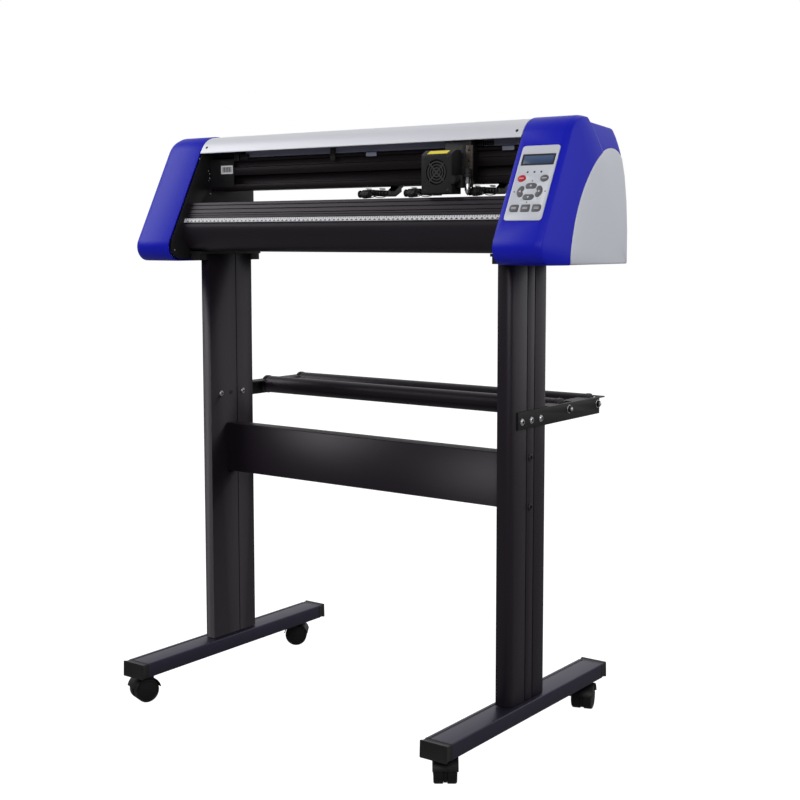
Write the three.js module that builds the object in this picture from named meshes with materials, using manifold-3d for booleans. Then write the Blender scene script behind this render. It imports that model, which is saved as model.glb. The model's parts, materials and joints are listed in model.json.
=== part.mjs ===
// Vinyl cutter on a wheeled stand, as an assembly of separate pieces.
// Millimetres, +Z up, +X to the operator's right, the operator stands on the -Y side.
// The origin is on the floor, midway between the two columns of the stand.

import * as THREE from 'three';
import { mergeVertices } from 'three/addons/utils/BufferGeometryUtils.js';
import Module from 'manifold-3d';

const wasm = await Module();
wasm.setup();

// ---------------------------------------------------------------- driving dimensions

const gap = 0.3;                  // running and seating clearance between neighbouring pieces

// stand
const columnX = 342;              // centre of each column and foot beam from the middle
const columnInner = 13.1;         // from that centre to the column's inner face
const columnOuter = 15;           // and to its outer face
const columnFront = -61;
const columnBack = 57;
const columnRound = 12;           // rounding of the two outer corners
const columnTop = 837.7;
const columnWall = 2.4;
const footLength = 528;
const footWidth = 52.7;
const footBottom = 51;
const footTop = 79.4;
const footCap = 17;               // length of the moulded cap at each end of a foot beam
const crossbar = { bottom: 411, top: 506, front: -20, back: 12, wall: 2.2 };

// casters
const wheelRadius = 22.5;
const wheelSides = 20;
const wheelHalfTrack = 20;        // outer face of each wheel from the caster's middle
const wheelInnerTrack = 3.2;      // inner face of each wheel
const casterTrail = 10;           // wheel axle behind the swivel axis
// swivel axis in Y and the way each caster has turned, in degrees
const casters = {
  left_front: { y: -223.5, angle: 161 },
  left_rear: { y: 216, angle: 126 },
  right_front: { y: -229, angle: 36 },
  right_rear: { y: 226, angle: 198 },
};

// media rollers and their brackets
const mediaRollers = { front: { y: 125.6, z: 569 }, rear: { y: 230.6, z: 568 } };
const mediaRollerX = -4;          // both rollers sit a little towards the left bracket
const mediaRollerRadius = 17;
const mediaCollarRadius = 18;
const mediaRollerHalf = 349;      // half the length over the end collars
const stubRadius = 3.9;
const bracketPlate = { inner: 357.4, outer: 360, bottom: 550, top: 580, front: -44, back: 238 };
const bracketFlange = { inner: 331, wide: 12, front: 62, back: 258, thickness: 2.4 };

// head
const slotHalf = 364;             // inner edge of each end cover; the slot takes 720 mm media
const ridgeHalf = 453;            // edge between an end cover's front band and its cheek
const headHalf = 480;             // outermost point of the side panels
const sidePanelProud = 1;         // how far a side panel stands out of its cover
const cheekRoundness = 3.9;       // how quickly a cheek swells behind its ridge
const ridgeSize = 0.987;          // a cover's outline at its ridge, against that at the slot
const coverWall = 3;
const headBottom = 825;
const headBack = 105;
const slopeFoot = [-131, 866];    // lower end of the straight sloping front, in Y and Z
const slopeHead = [-44, 1038];    // upper end of it
const plateInner = 361;           // side plates, inside the end covers
const plateOuter = 363.7;
const plateInset = 4;             // side plate's outline inside the cover's outline
const spanHalf = 360.7;           // beam, platen and top cover end here
const beamBottom = 960.5;
const beamTop = 1021;
const pinchPivot = { y: 44, z: 966, bead: 4 };
const platenTop = 936;

// drive
const gritShaft = { y: -48, z: 930.6, radius: 6.6, journal: 5 };
const belt = { y: 6, halfSpan: 388, inner: 9.5, outer: 10.9, bottom: 1023.5, top: 1029.5 };

// pinch units, by the X of their middles
const pinchCentres = { left: 43, middle: 143.5, right: 275.5 };
const pinchWheel = { y: -48, z: 944.7, radius: 7, half: 4.6 };

// carriage, where it is parked
const carriageX = 225.5;          // middle of the carriage cover
const toolX = 274.5;              // blade holder's axis
const toolY = -70;

// control panel, in its own frame on the slope: x across, y up the slope, z out of it
const panelX = 408;
const panel = { half: 34.5, bottom: 33, top: 167.5, corner: 5, back: -2.2, face: 0.8 };
const screen = { half: 30.6, bottom: 131.5, top: 152.3 };
const buttonBack = -2;
const buttonFace = 1.7;
const arrowRing = { x: 0, y: 84.2, a: 18.6, b: 10.3, width: 9.4 };

// ---------------------------------------------------------------- shape helpers

function box(x0, x1, y0, y1, z0, z1) {
  const shape = new THREE.BoxGeometry(x1 - x0, y1 - y0, z1 - z0);
  return shape.translate((x0 + x1) / 2, (y0 + y1) / 2, (z0 + z1) / 2);
}

function outline(points, holes = []) {
  const shape = new THREE.Shape(points.map(([a, b]) => new THREE.Vector2(a, b)));
  shape.holes = holes.map((hole) => new THREE.Path(hole.map(([a, b]) => new THREE.Vector2(a, b))));
  return shape;
}

function extrude(shape, depth) {
  return new THREE.ExtrudeGeometry(shape, { depth, bevelEnabled: false, curveSegments: 6 });
}

// a prism along X from an outline in Y and Z
function prismX(shape, x0, x1) {
  const turn = new THREE.Matrix4().set(0, 0, 1, x0, 1, 0, 0, 0, 0, 1, 0, 0, 0, 0, 0, 1);
  return extrude(shape, x1 - x0).applyMatrix4(turn);
}

// a prism along Y from an outline in X and Z
function prismY(shape, y0, y1) {
  const turn = new THREE.Matrix4().set(1, 0, 0, 0, 0, 0, -1, y1, 0, 1, 0, 0, 0, 0, 0, 1);
  return extrude(shape, y1 - y0).applyMatrix4(turn);
}

function prismZ(shape, z0, z1) {
  return extrude(shape, z1 - z0).translate(0, 0, z0);
}

function rodX(radius, x0, x1, y, z, sides = 16) {
  const rod = new THREE.CylinderGeometry(radius, radius, x1 - x0, sides).rotateZ(Math.PI / 2);
  return rod.translate((x0 + x1) / 2, y, z);
}

function rodY(radius, y0, y1, x, z, sides = 16) {
  return new THREE.CylinderGeometry(radius, radius, y1 - y0, sides).translate(x, (y0 + y1) / 2, z);
}

function rodZ(radius, z0, z1, x, y, sides = 16) {
  const rod = new THREE.CylinderGeometry(radius, radius, z1 - z0, sides).rotateX(Math.PI / 2);
  return rod.translate(x, y, (z0 + z1) / 2);
}

// a solid of revolution about X; the profile lists [distance along X, radius]
function turned(profile, sides) {
  const points = profile.map(([along, radius]) => new THREE.Vector2(radius, along));
  return new THREE.LatheGeometry(points, sides).rotateZ(-Math.PI / 2);
}

function roundedRect(x0, x1, y0, y1, radius, steps = 4) {
  const corners = [[x1, y1, 0], [x0, y1, 1], [x0, y0, 2], [x1, y0, 3]];
  const points = [];
  for (const [x, y, quarter] of corners) {
    const cx = x + (x === x0 ? radius : -radius);
    const cy = y + (y === y0 ? radius : -radius);
    for (let i = 0; i <= steps; i += 1) {
      const angle = (quarter + i / steps) * Math.PI / 2;
      points.push([cx + radius * Math.cos(angle), cy + radius * Math.sin(angle)]);
    }
  }
  return points;
}

function ellipsePoints(cx, cy, a, b, sides) {
  const points = [];
  for (let i = 0; i < sides; i += 1) {
    const angle = i / sides * 2 * Math.PI;
    points.push([cx + a * Math.cos(angle), cy + b * Math.sin(angle)]);
  }
  return points;
}

// a closed skin through rings of equal length, each ring { x, points in Y and Z, anticlockwise }
function loft(rings) {
  const count = rings[0].points.length;
  const vertices = [];
  for (const ring of rings) {
    for (const [y, z] of ring.points) vertices.push(ring.x, y, z);
  }
  const faces = [];
  for (let r = 0; r < rings.length - 1; r += 1) {
    for (let i = 0; i < count; i += 1) {
      const j = (i + 1) % count;
      const a = r * count;
      const b = a + count;
      faces.push(a + i, a + j, b + j, a + i, b + j, b + i);
    }
  }
  const capPoints = (ring) => ring.points.map(([y, z]) => new THREE.Vector2(y, z));
  const last = rings.length - 1;
  for (const [a, b, c] of THREE.ShapeUtils.triangulateShape(capPoints(rings[0]), [])) {
    faces.push(c, b, a);
  }
  for (const [a, b, c] of THREE.ShapeUtils.triangulateShape(capPoints(rings[last]), [])) {
    faces.push(last * count + a, last * count + b, last * count + c);
  }
  const skin = new THREE.BufferGeometry();
  skin.setAttribute('position', new THREE.Float32BufferAttribute(vertices, 3));
  skin.setIndex(faces);
  return skin;
}

// the same shape on the other side of the X = 0 plane
function mirrored(geometry) {
  const flat = geometry.index ? geometry.toNonIndexed() : geometry.clone();
  const position = flat.getAttribute('position');
  const copy = new Float32Array(position.count * 3);
  for (let i = 0; i < position.count; i += 1) {
    const from = i % 3 === 0 ? i : i + (i % 3 === 1 ? 1 : -1);
    copy.set([-position.getX(from), position.getY(from), position.getZ(from)], i * 3);
  }
  const result = new THREE.BufferGeometry();
  result.setAttribute('position', new THREE.BufferAttribute(copy, 3));
  return result;
}

function toSolid(geometry) {
  const bare = geometry.clone();
  for (const name of Object.keys(bare.attributes)) {
    if (name !== 'position') bare.deleteAttribute(name);
  }
  const merged = mergeVertices(bare, 1e-4);
  return new wasm.Manifold(new wasm.Mesh({
    numProp: 3,
    vertProperties: new Float32Array(merged.getAttribute('position').array),
    triVerts: new Uint32Array(merged.index.array),
  }));
}

function toGeometry(solid) {
  const mesh = solid.getMesh();
  const geometry = new THREE.BufferGeometry();
  geometry.setAttribute('position', new THREE.BufferAttribute(new Float32Array(mesh.vertProperties), 3));
  geometry.setIndex(new THREE.BufferAttribute(new Uint32Array(mesh.triVerts), 1));
  return geometry;
}

function join(...pieces) {
  return toGeometry(pieces.map(toSolid).reduce((whole, piece) => whole.add(piece)));
}

function cut(base, ...tools) {
  return toGeometry(tools.map(toSolid).reduce((whole, tool) => whole.subtract(tool), toSolid(base)));
}

function common(first, second) {
  return toGeometry(toSolid(first).intersect(toSolid(second)));
}

// ---------------------------------------------------------------- finishes and placing

const finishes = {
  anodised: { color: 0x2b262b, roughness: 0.42, metalness: 0.7 },
  blackSteel: { color: 0x17161a, roughness: 0.5, metalness: 0.4 },
  blackPlastic: { color: 0x18181b, roughness: 0.55, metalness: 0 },
  bluePlastic: { color: 0x1d22c4, roughness: 0.38, metalness: 0 },
  silverPaint: { color: 0xd4d5dc, roughness: 0.4, metalness: 0.25 },
  greyPlastic: { color: 0xb2b5c0, roughness: 0.42, metalness: 0.1 },
  keypadFilm: { color: 0xe4e6ea, roughness: 0.35, metalness: 0 },
  screenGlass: { color: 0x3c4d74, roughness: 0.12, metalness: 0 },
  redButton: { color: 0xd81e2c, roughness: 0.4, metalness: 0 },
  greyButton: { color: 0x6b6c72, roughness: 0.45, metalness: 0 },
  steel: { color: 0xb9bbc0, roughness: 0.3, metalness: 1 },
  rubber: { color: 0x141415, roughness: 0.75, metalness: 0 },
  whiteScale: { color: 0xe9e9ee, roughness: 0.4, metalness: 0 },
  circuitGreen: { color: 0x1c5b33, roughness: 0.5, metalness: 0 },
};

const cutter = new THREE.Group();

function place(name, geometry, finish, parent = cutter) {
  const mesh = new THREE.Mesh(geometry, new THREE.MeshStandardMaterial({ ...finishes[finish] }));
  mesh.name = name;
  parent.add(mesh);
  return mesh;
}

const sides = [['left', -1], ['right', 1]];

// builds a piece for the right-hand side and its mirror image for the left
function placePair(name, geometry, finish) {
  for (const [side, sign] of sides) {
    place(`${side}_${name}`, sign < 0 ? mirrored(geometry) : geometry, finish);
  }
}

// ---------------------------------------------------------------- stand

function footBeam() {
  const half = footWidth / 2;
  const wall = 2.3;
  const slot = 1.4;
  const slotX = -half + 8;
  const halfBody = footLength / 2 - footCap;
  const tube = outline(roundedRect(-half + 1, half - 1, footBottom + 0.6, footTop - 0.6, 2, 2));
  const hollow = box(-half + 1 + wall, half - 1 - wall, -halfBody, halfBody,
    footBottom + wall, footTop - wall - 0.6);
  const groove = box(slotX - slot, slotX + slot, -halfBody + 6, halfBody - 6, footTop - 8, footTop + 1);
  const body = prismY(tube, -footLength / 2 + 2, footLength / 2 - 2);
  const caps = [-1, 1].map((end) => {
    const cap = outline(roundedRect(-half, half, footBottom, footTop, 2.5, 2));
    return end < 0
      ? prismY(cap, -footLength / 2, -halfBody)
      : prismY(cap, halfBody, footLength / 2);
  });
  return cut(join(body, ...caps), hollow, groove);
}

function column() {
  const corner = (y, quarter) => [0, 1, 2, 3, 4].map((step) => {
    const angle = (quarter + step / 4) * Math.PI / 2;
    return [columnOuter - columnRound + columnRound * Math.cos(angle), y + columnRound * Math.sin(angle)];
  });
  const body = [[-columnInner, columnBack], [-columnInner, columnFront],
    ...corner(columnFront + columnRound, 3), ...corner(columnBack - columnRound, 0)];
  const grooveDepth = 2.2;
  const grooveHalf = 1.3;
  const chambers = [[columnFront + 5, -15], [-9, 9], [15, columnBack - 5]];
  const holes = chambers.map(([front, back]) => (
    roundedRect(-columnInner + columnWall, columnOuter - columnWall - 2, front, back, 3, 1)));
  const bar = prismZ(outline(body, holes), footTop + gap, columnTop);
  const outerGrooves = [-12, 12].map((y) => (
    box(columnOuter - grooveDepth, columnOuter + 1, y - grooveHalf, y + grooveHalf, 0, 900)));
  const innerGroove = box(-columnInner - 1, -columnInner + 1.3, 11, 13, 0, 900);
  return cut(bar, ...outerGrooves, innerGroove);
}

function crossbarBar() {
  const { bottom, top, front, back, wall } = crossbar;
  const reach = columnX - columnInner - gap;
  const middle = (bottom + top) / 2;
  const chambers = [[bottom + wall, middle - 1.2], [middle + 1.2, top - wall]];
  const holes = chambers.map(([low, high]) => roundedRect(front + wall, back - wall, low, high, 1, 1));
  return prismX(outline(roundedRect(front, back, bottom, top, 2, 2), holes), -reach, reach);
}

function headBracket() {
  const top = 843;
  const plateThickness = 5;
  const reach = 84;
  const x0 = columnX - columnInner - 1;
  const x1 = columnX + columnOuter + 1;
  const plate = box(x0, x1, -reach, reach, columnTop + gap, top);
  const drop = top - plateThickness - 12;
  const cleats = [[-reach, columnFront - 0.5], [columnBack + 0.5, reach]].map(([front, back]) => (
    box(x0 + 4, x1 - 4, front, back, drop, top - 1)));
  return join(plate, ...cleats);
}

function rollerBracket() {
  const { inner, outer, bottom, top, front, back } = bracketPlate;
  const flangeBottom = top - bracketFlange.thickness;
  const plate = box(inner, outer, front, back, bottom, top);
  const flange = box(bracketFlange.inner, outer, bracketFlange.front, bracketFlange.back, flangeBottom, top);
  const webs = [];
  const stubs = [];
  for (const { y, z } of Object.values(mediaRollers)) {
    const clear = mediaCollarRadius + 4;
    webs.push(box(bracketFlange.inner - 1, outer - bracketFlange.wide + 6, y - clear, y + clear,
      flangeBottom - 1, top + 1));
    stubs.push(rodX(stubRadius, mediaRollerHalf - 12, outer, y, z, 12));
    stubs.push(rodX(6, outer - 0.5, outer + 4, y, z, 6));
  }
  return join(cut(join(plate, flange), ...webs), ...stubs);
}

function mediaRoller() {
  const bore = stubRadius + gap;
  const tubeInner = mediaRollerRadius - 1.6;
  const capDepth = 14;
  const collar = 8;
  const half = mediaRollerHalf;
  const profile = [
    [-half, bore], [-half + capDepth, bore], [-half + capDepth, tubeInner], [half - capDepth, tubeInner],
    [half - capDepth, bore], [half, bore], [half, mediaCollarRadius], [half - collar, mediaCollarRadius],
    [half - collar, mediaRollerRadius], [-half + collar, mediaRollerRadius],
    [-half + collar, mediaCollarRadius], [-half, mediaCollarRadius], [-half, bore],
  ];
  return turned(profile.reverse(), 24);
}

// ---------------------------------------------------------------- casters

function casterWheels() {
  const rim = wheelRadius / Math.cos(Math.PI / wheelSides);
  const axle = 3.6;
  const chamfer = 3.5;
  const profile = [
    [-wheelHalfTrack, 0], [-wheelHalfTrack, rim - chamfer], [-wheelHalfTrack + chamfer, rim],
    [-wheelInnerTrack, rim], [-wheelInnerTrack, axle], [wheelInnerTrack, axle], [wheelInnerTrack, rim],
    [wheelHalfTrack - chamfer, rim], [wheelHalfTrack, rim - chamfer], [wheelHalfTrack, 0],
  ];
  return turned(profile, wheelSides).rotateX(Math.PI / wheelSides);
}

function casterFork() {
  const webHalf = wheelInnerTrack - gap - 0.1;
  const hoodOuter = 25.6;
  const hoodInner = 23.8;
  const hoodHalf = wheelHalfTrack + 1;
  const steps = 9;
  const from = 12 * Math.PI / 180;
  const to = 168 * Math.PI / 180;
  const hood = [];
  for (let i = 0; i <= steps; i += 1) {
    const angle = from + (to - from) * i / steps;
    hood.push([hoodOuter * Math.cos(angle), hoodOuter * Math.sin(angle)]);
  }
  for (let i = steps; i >= 0; i -= 1) {
    const angle = from + (to - from) * i / steps;
    hood.push([hoodInner * Math.cos(angle), hoodInner * Math.sin(angle)]);
  }
  const web = [[-8, -7], [8, -7], [20, 8], [21, 14], [14, 22], [-14, 22], [-21, 14], [-20, 8]];
  const stemTop = footBottom - gap - wheelRadius;
  const shell = join(
    prismX(outline(hood), -hoodHalf, hoodHalf),
    prismX(outline(web), -webHalf, webHalf),
    rodZ(9, 18, stemTop, 0, -casterTrail, 16),
  );
  const wheelRoom = rodX(hoodInner, wheelInnerTrack - 0.4, hoodHalf + 1, 0, 0, 24);
  return cut(shell, rodX(3.6 + gap, -10, 10, 0, 0, 12), wheelRoom, mirrored(wheelRoom));
}

function addCasters() {
  for (const [name, { y, angle }] of Object.entries(casters)) {
    const swivel = new THREE.Group();
    swivel.position.set(name.startsWith('left') ? -columnX : columnX, y, 0);
    swivel.rotation.z = THREE.MathUtils.degToRad(angle);
    cutter.add(swivel);
    const fork = place(`${name}_caster_fork`, casterFork(), 'blackPlastic', swivel);
    const wheels = place(`${name}_caster_wheels`, casterWheels(), 'blackPlastic', swivel);
    fork.position.set(0, casterTrail, wheelRadius);
    wheels.position.set(0, casterTrail, wheelRadius);
  }
}

// ---------------------------------------------------------------- head: covers and plates

// outline of the head from the side, anticlockwise from the front of its underside
function headOutline() {
  return [
    [-108, headBottom], [97, headBottom], [headBack, 833], [headBack, 1030], [101, 1043], [92, 1051],
    [60, 1056.5], [20, 1058.5], [8, 1065.6], [0, 1066], [-16, 1063.5], [-32, 1054.5], slopeHead,
    slopeFoot, [-133.5, 850], [-130, 838], [-121, 829.5],
  ];
}

// the same outline drawn in by a distance, for pieces that sit inside it
function insetOutline(points, distance) {
  return points.map(([y, z], i) => {
    const [py, pz] = points[(i + points.length - 1) % points.length];
    const [ny, nz] = points[(i + 1) % points.length];
    const before = new THREE.Vector2(y - py, z - pz).normalize();
    const after = new THREE.Vector2(ny - y, nz - z).normalize();
    const inward = new THREE.Vector2(-before.y - after.y, before.x + after.x).normalize();
    const stretch = distance / Math.max(0.5, inward.dot(new THREE.Vector2(-before.y, before.x)));
    return [y + inward.x * stretch, z + inward.y * stretch];
  });
}

// solid inside an end cover's skin: the front band, then a cheek that swells outwards and backwards
function coverBody(inset, start) {
  const points = insetOutline(headOutline(), inset);
  const swell = headHalf - sidePanelProud - ridgeHalf;
  const smallest = 0.25;
  const full = 1 - Math.exp(-cheekRoundness * (1 - smallest));
  const corner = [headBack - inset, headBottom + inset];
  const drawnIn = (size) => points.map(([y, z]) => [
    corner[0] + (y - corner[0]) * size,
    corner[1] + (z - corner[1]) * size,
  ]);
  const rings = [{ x: start, points }, { x: ridgeHalf - 11 - inset, points }];
  for (const size of [1, 0.9, 0.78, 0.62, 0.44, smallest]) {
    const out = ridgeHalf + swell * (1 - Math.exp(-cheekRoundness * (1 - size))) / full;
    rings.push({ x: out - inset, points: drawnIn(size * ridgeSize) });
  }
  return loft(rings);
}

function sidePanelOutline() {
  return [
    [-66, 820], [110, 820], [110, 1001], [88, 1013.5], [66, 1016], [38, 1009], [8, 990.5],
    [-17, 963], [-38, 931], [-56, 893], [-70, 851], [-71, 840],
  ];
}

function sidePanel() {
  const skin = cut(coverBody(0, slotHalf + 60), coverBody(coverWall, slotHalf));
  const patch = prismX(outline(insetOutline(sidePanelOutline(), 0.4)), ridgeHalf, headHalf + 5);
  return common(skin, patch).translate(sidePanelProud, 0, 0);
}

function endCover() {
  const shell = cut(coverBody(0, slotHalf), coverBody(coverWall, slotHalf - 1));
  return cut(shell, prismX(outline(sidePanelOutline()), ridgeHalf + 1, headHalf + 5));
}

const slopeAngle = Math.atan2(slopeHead[1] - slopeFoot[1], slopeHead[0] - slopeFoot[0]);

// moves a piece made in the control panel's frame onto the slope of the right-hand cover
function ontoSlope(geometry) {
  return geometry.rotateX(slopeAngle).translate(panelX, slopeFoot[0], slopeFoot[1]);
}

const rearModule = { x0: 386, x1: 446, z0: 851, z1: 874 };

function rightEndCover() {
  const window = roundedRect(-panel.half - 0.5, panel.half + 0.5, panel.bottom - 0.5, panel.top + 0.5,
    panel.corner, 3);
  const { x0, x1, z0, z1 } = rearModule;
  const rearWindow = box(x0 - 0.4, x1 + 0.4, headBack - 10, headBack + 5, z0 - 0.4, z1 + 0.4);
  return cut(endCover(), ontoSlope(prismZ(outline(window), -10, 10)), rearWindow);
}

// side plate with its bearing hole, belt slot and the shelf that carries the belt pulley
function sidePlate(extras) {
  const plate = prismX(outline(insetOutline(headOutline(), plateInset)), plateInner, plateOuter);
  const shelf = box(plateInner + 1, belt.halfSpan + 14, belt.y - 16, belt.y + 16, 1015, 1017);
  const shaftHole = rodX(gritShaft.journal + 0.4, plateInner - 2, plateOuter + 2,
    gritShaft.y, gritShaft.z, 16);
  const beltSlot = box(plateInner - 2, plateOuter + 2, belt.y - 15, belt.y + 15, 1021, 1032);
  return cut(join(plate, shelf, ...extras), shaftHole, beltSlot);
}

function addSidePlates() {
  const pin = rodZ(2.6, 1016, belt.top + 2, belt.halfSpan, belt.y, 12);
  place('left_side_plate', mirrored(sidePlate([pin])), 'blackSteel');
  const shaftRoom = rodZ(4, 1010, 1020, belt.halfSpan, belt.y, 12);
  place('right_side_plate', cut(sidePlate([]), shaftRoom), 'blackSteel');
}

// folded sheet along X: a path in Y and Z given a thickness on its inner side
function foldedSheet(path, thickness, x0, x1) {
  const inner = path.map(([y, z], i) => {
    const [py, pz] = path[Math.max(i - 1, 0)];
    const [ny, nz] = path[Math.min(i + 1, path.length - 1)];
    const along = new THREE.Vector2(ny - py, nz - pz).normalize();
    return [y + along.y * thickness, z - along.x * thickness];
  });
  return prismX(outline([...path, ...inner.reverse()]), x0, x1);
}

function topCover() {
  const path = [
    [-47, 1031.5], [-43.4, 1038], [-31.2, 1054], [-15.6, 1062.2], [0, 1064.6], [55, 1057], [90, 1050.3],
    [99.5, 1042], [103, 1030], [103, 1000],
  ];
  return foldedSheet(path, 2, -spanHalf - 2.6, spanHalf + 2.6);
}

// ---------------------------------------------------------------- head: beam and platen

function guideBeam() {
  const { y, z, bead } = pinchPivot;
  const face = -20;
  const back = 30;
  const neck = 1.4;
  const beadArc = [];
  for (let i = 0; i <= 8; i += 1) {
    const angle = THREE.MathUtils.degToRad(-158 + 316 * i / 8);
    beadArc.push([y + bead * Math.cos(angle), z + bead * Math.sin(angle)]);
  }
  const profile = [
    [face, beamBottom], [back, beamBottom], [back, z - neck], ...beadArc, [back, z + neck],
    [back, beamTop], [face + 2, beamTop], [face, beamTop - 2], [face, 1015], [face + 4, 1013.5],
    [face + 4, 1004.5], [face, 1003], [face, 988.5], [face + 10, 987], [face + 10, 972.5], [face, 971],
  ];
  const hollow = [[-6, 965], [26, 965], [26, 1017], [-12, 1017], [-12, 991], [-6, 991]];
  return prismX(outline(profile, [hollow]), -spanHalf, spanHalf);
}

function platenBody() {
  const slotFront = gritShaft.y - 7.5;
  const slotBack = gritShaft.y + 7.5;
  const slotFloor = 922;
  const bottom = 843.3;
  const profile = [
    [-72, bottom], [90, bottom], [95, 850], [95, platenTop], [slotBack, platenTop],
    [slotBack, slotFloor], [slotFront, slotFloor], [slotFront, platenTop], [-78, platenTop],
    [-80.5, 931], [-79.5, 929.5], [-83.5, 922], [-82.5, 920.5], [-87, 912], [-86, 910.5], [-88, 906.6],
    [-92, 906.3], [-95.6, 896.9], [-100, 895], [-101.3, 887], [-100.6, 877], [-97.8, 866],
    [-92.8, 856], [-85.5, 848.5], [-78, 844.5],
  ];
  const hollow = [
    [-70, 847], [91, 847], [91, 932], [slotBack + 3, 932], [slotBack + 3, 918.5],
    [slotFront - 3, 918.5], [slotFront - 3, 932], [-76, 932], [-82, 908], [-90, 900], [-96.5, 890],
    [-96.4, 878], [-92, 865], [-84, 853],
  ];
  return prismX(outline(profile, [hollow]), -spanHalf, spanHalf);
}

function rulerStrip() {
  const top = [-92.38, 905.3];
  const bottom = [-95.2, 897.9];
  const out = new THREE.Vector2(bottom[1] - top[1], top[0] - bottom[0]).normalize();
  const lift = (point, distance) => [point[0] + out.x * distance, point[1] + out.y * distance];
  const profile = [lift(bottom, gap), lift(bottom, 1.2), lift(top, 1.2), lift(top, gap)];
  return prismX(outline(profile), -spanHalf + 0.6, spanHalf - 0.6);
}

// ---------------------------------------------------------------- drive

function gritRoller() {
  const { radius, journal } = gritShaft;
  const drumHalf = spanHalf - 4;
  const end = plateOuter + 5;
  const profile = [[-end, 0], [-end, journal], [-drumHalf, journal], [-drumHalf, radius],
    [drumHalf, radius], [drumHalf, journal], [end, journal], [end, 0]];
  return turned(profile, 20);
}

function driveBelt() {
  const ring = (radius) => {
    const points = [];
    for (const end of [1, -1]) {
      for (let i = 0; i <= 8; i += 1) {
        const angle = (i / 8 - 0.5) * Math.PI + (end < 0 ? Math.PI : 0);
        points.push([end * belt.halfSpan + radius * Math.cos(angle), belt.y + radius * Math.sin(angle)]);
      }
    }
    return points;
  };
  return prismZ(outline(ring(belt.outer), [ring(belt.inner)]), belt.bottom, belt.top);
}

function beltPulley(bore) {
  const rim = belt.inner - gap;
  const flange = belt.outer + 1;
  const low = belt.bottom - 1.5;
  const high = belt.top + 1.5;
  const profile = [[bore, low], [flange, low], [flange, belt.bottom - gap], [rim, belt.bottom - gap],
    [rim, belt.top + gap], [flange, belt.top + gap], [flange, high], [bore, high]];
  if (bore > 0) profile.push([bore, low]);
  const points = profile.map(([radius, z]) => new THREE.Vector2(radius, z));
  return new THREE.LatheGeometry(points, 20).rotateX(Math.PI / 2);
}

function addPulleys() {
  const drive = join(beltPulley(0), rodZ(2.5, 1014.5, belt.bottom, 0, 0, 12));
  place('drive_pulley', drive, 'steel').position.set(belt.halfSpan, belt.y, 0);
  place('idler_pulley', beltPulley(2.9), 'steel').position.set(-belt.halfSpan, belt.y, 0);
}

function motor(half, length) {
  const corner = half * 0.22;
  const body = [[-half + corner, -half], [half - corner, -half], [half, -half + corner],
    [half, half - corner], [half - corner, half], [-half + corner, half], [-half, half - corner],
    [-half, -half + corner]];
  return prismZ(outline(body), -length, 0);
}

function addMotors() {
  place('carriage_motor', motor(21, 38), 'blackSteel').position.set(belt.halfSpan, belt.y, 1014.2);
  const feed = place('feed_motor', motor(28, 50), 'blackSteel');
  feed.rotation.y = -Math.PI / 2;
  feed.position.set(plateOuter + 5.6, gritShaft.y, gritShaft.z);
}

function controlBoard() {
  const board = box(428, 429.6, -55, 78, 882, 982);
  const chips = [[-40, -20, 900, 930], [0, 24, 905, 929], [40, 62, 890, 920], [-20, 10, 950, 970]];
  return join(board, ...chips.map(([y0, y1, z0, z1]) => box(424, 428.5, y0, y1, z0, z1)));
}

// rear module with the mains socket and the frame of the power switch
function powerInlet() {
  const { x0, x1, z0, z1 } = rearModule;
  const back = headBack - 21;
  const rim = 4;
  const body = join(
    box(x0, x1, back, headBack + 1, z0, z1),
    box(x0 - rim, x1 + rim, headBack + gap, headBack + 2.4, z0 - rim, z1 + rim),
  );
  const socket = box(x0 + 4, x0 + 28, back + 3, headBack + 5, z0 + 3, z1 - 3);
  const switchRoom = box(x0 + 36, x1 - 4, back + 8, headBack + 5, z0 + 1.5, z1 - 1.5);
  return cut(body, socket, switchRoom);
}

const switchCentre = { x: 432, y: headBack, z: 862.5 };

function addPowerSwitch() {
  const halfWidth = 9.6;
  const profile = [[-7, -8.6], [0.5, -8.6], [3.4, -8], [2, 0], [3.4, 8], [0.5, 8.6], [-7, 8.6], [-9, 0]];
  const rocker = place('power_switch', prismX(outline(profile), -halfWidth, halfWidth), 'blackPlastic');
  rocker.rotation.x = THREE.MathUtils.degToRad(-7);
  rocker.position.set(switchCentre.x, switchCentre.y, switchCentre.z);
}

// ---------------------------------------------------------------- pinch units

function pinchArm() {
  const { y, z, bead } = pinchPivot;
  const clipOuter = bead + 3.4;
  const clipInner = bead + 0.4;
  const half = 9;
  const cheek = pinchWheel.half + 0.6;
  const clip = cut(
    rodX(clipOuter, -half, half, y, z, 20),
    rodX(clipInner, -half - 1, half + 1, y, z, 20),
    box(-half - 1, half + 1, y - 20, y - 0.5, z - 3.2, z + 3.4),
  );
  const arm = prismX(outline([[-38, 943], [30, 943], [y + 4, 952], [y + 4, 960], [y - 5, 960.5],
    [28, 953], [-38, 953]]), -half, half);
  const fork = [[-36, 943.5], [-36, 951], [-46, 951.5], [-53, 949], [-55, 944], [-53, 940], [-46, 939]];
  const cheeks = [[-half + 1, -cheek], [cheek, half - 1]].map(([x0, x1]) => prismX(outline(fork), x0, x1));
  const lever = prismX(outline([[y + 5, 963], [y + 24, 974], [y + 27, 971], [y + 26, 968], [y + 5, 955]]),
    -4.5, 4.5);
  const axleHole = rodX(2.4, -half - 1, half + 1, pinchWheel.y, pinchWheel.z, 12);
  const beadRoom = rodX(clipInner, -half - 1, half + 1, y, z, 20);
  return cut(join(arm, ...cheeks, clip, cut(lever, beadRoom)), axleHole);
}

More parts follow.
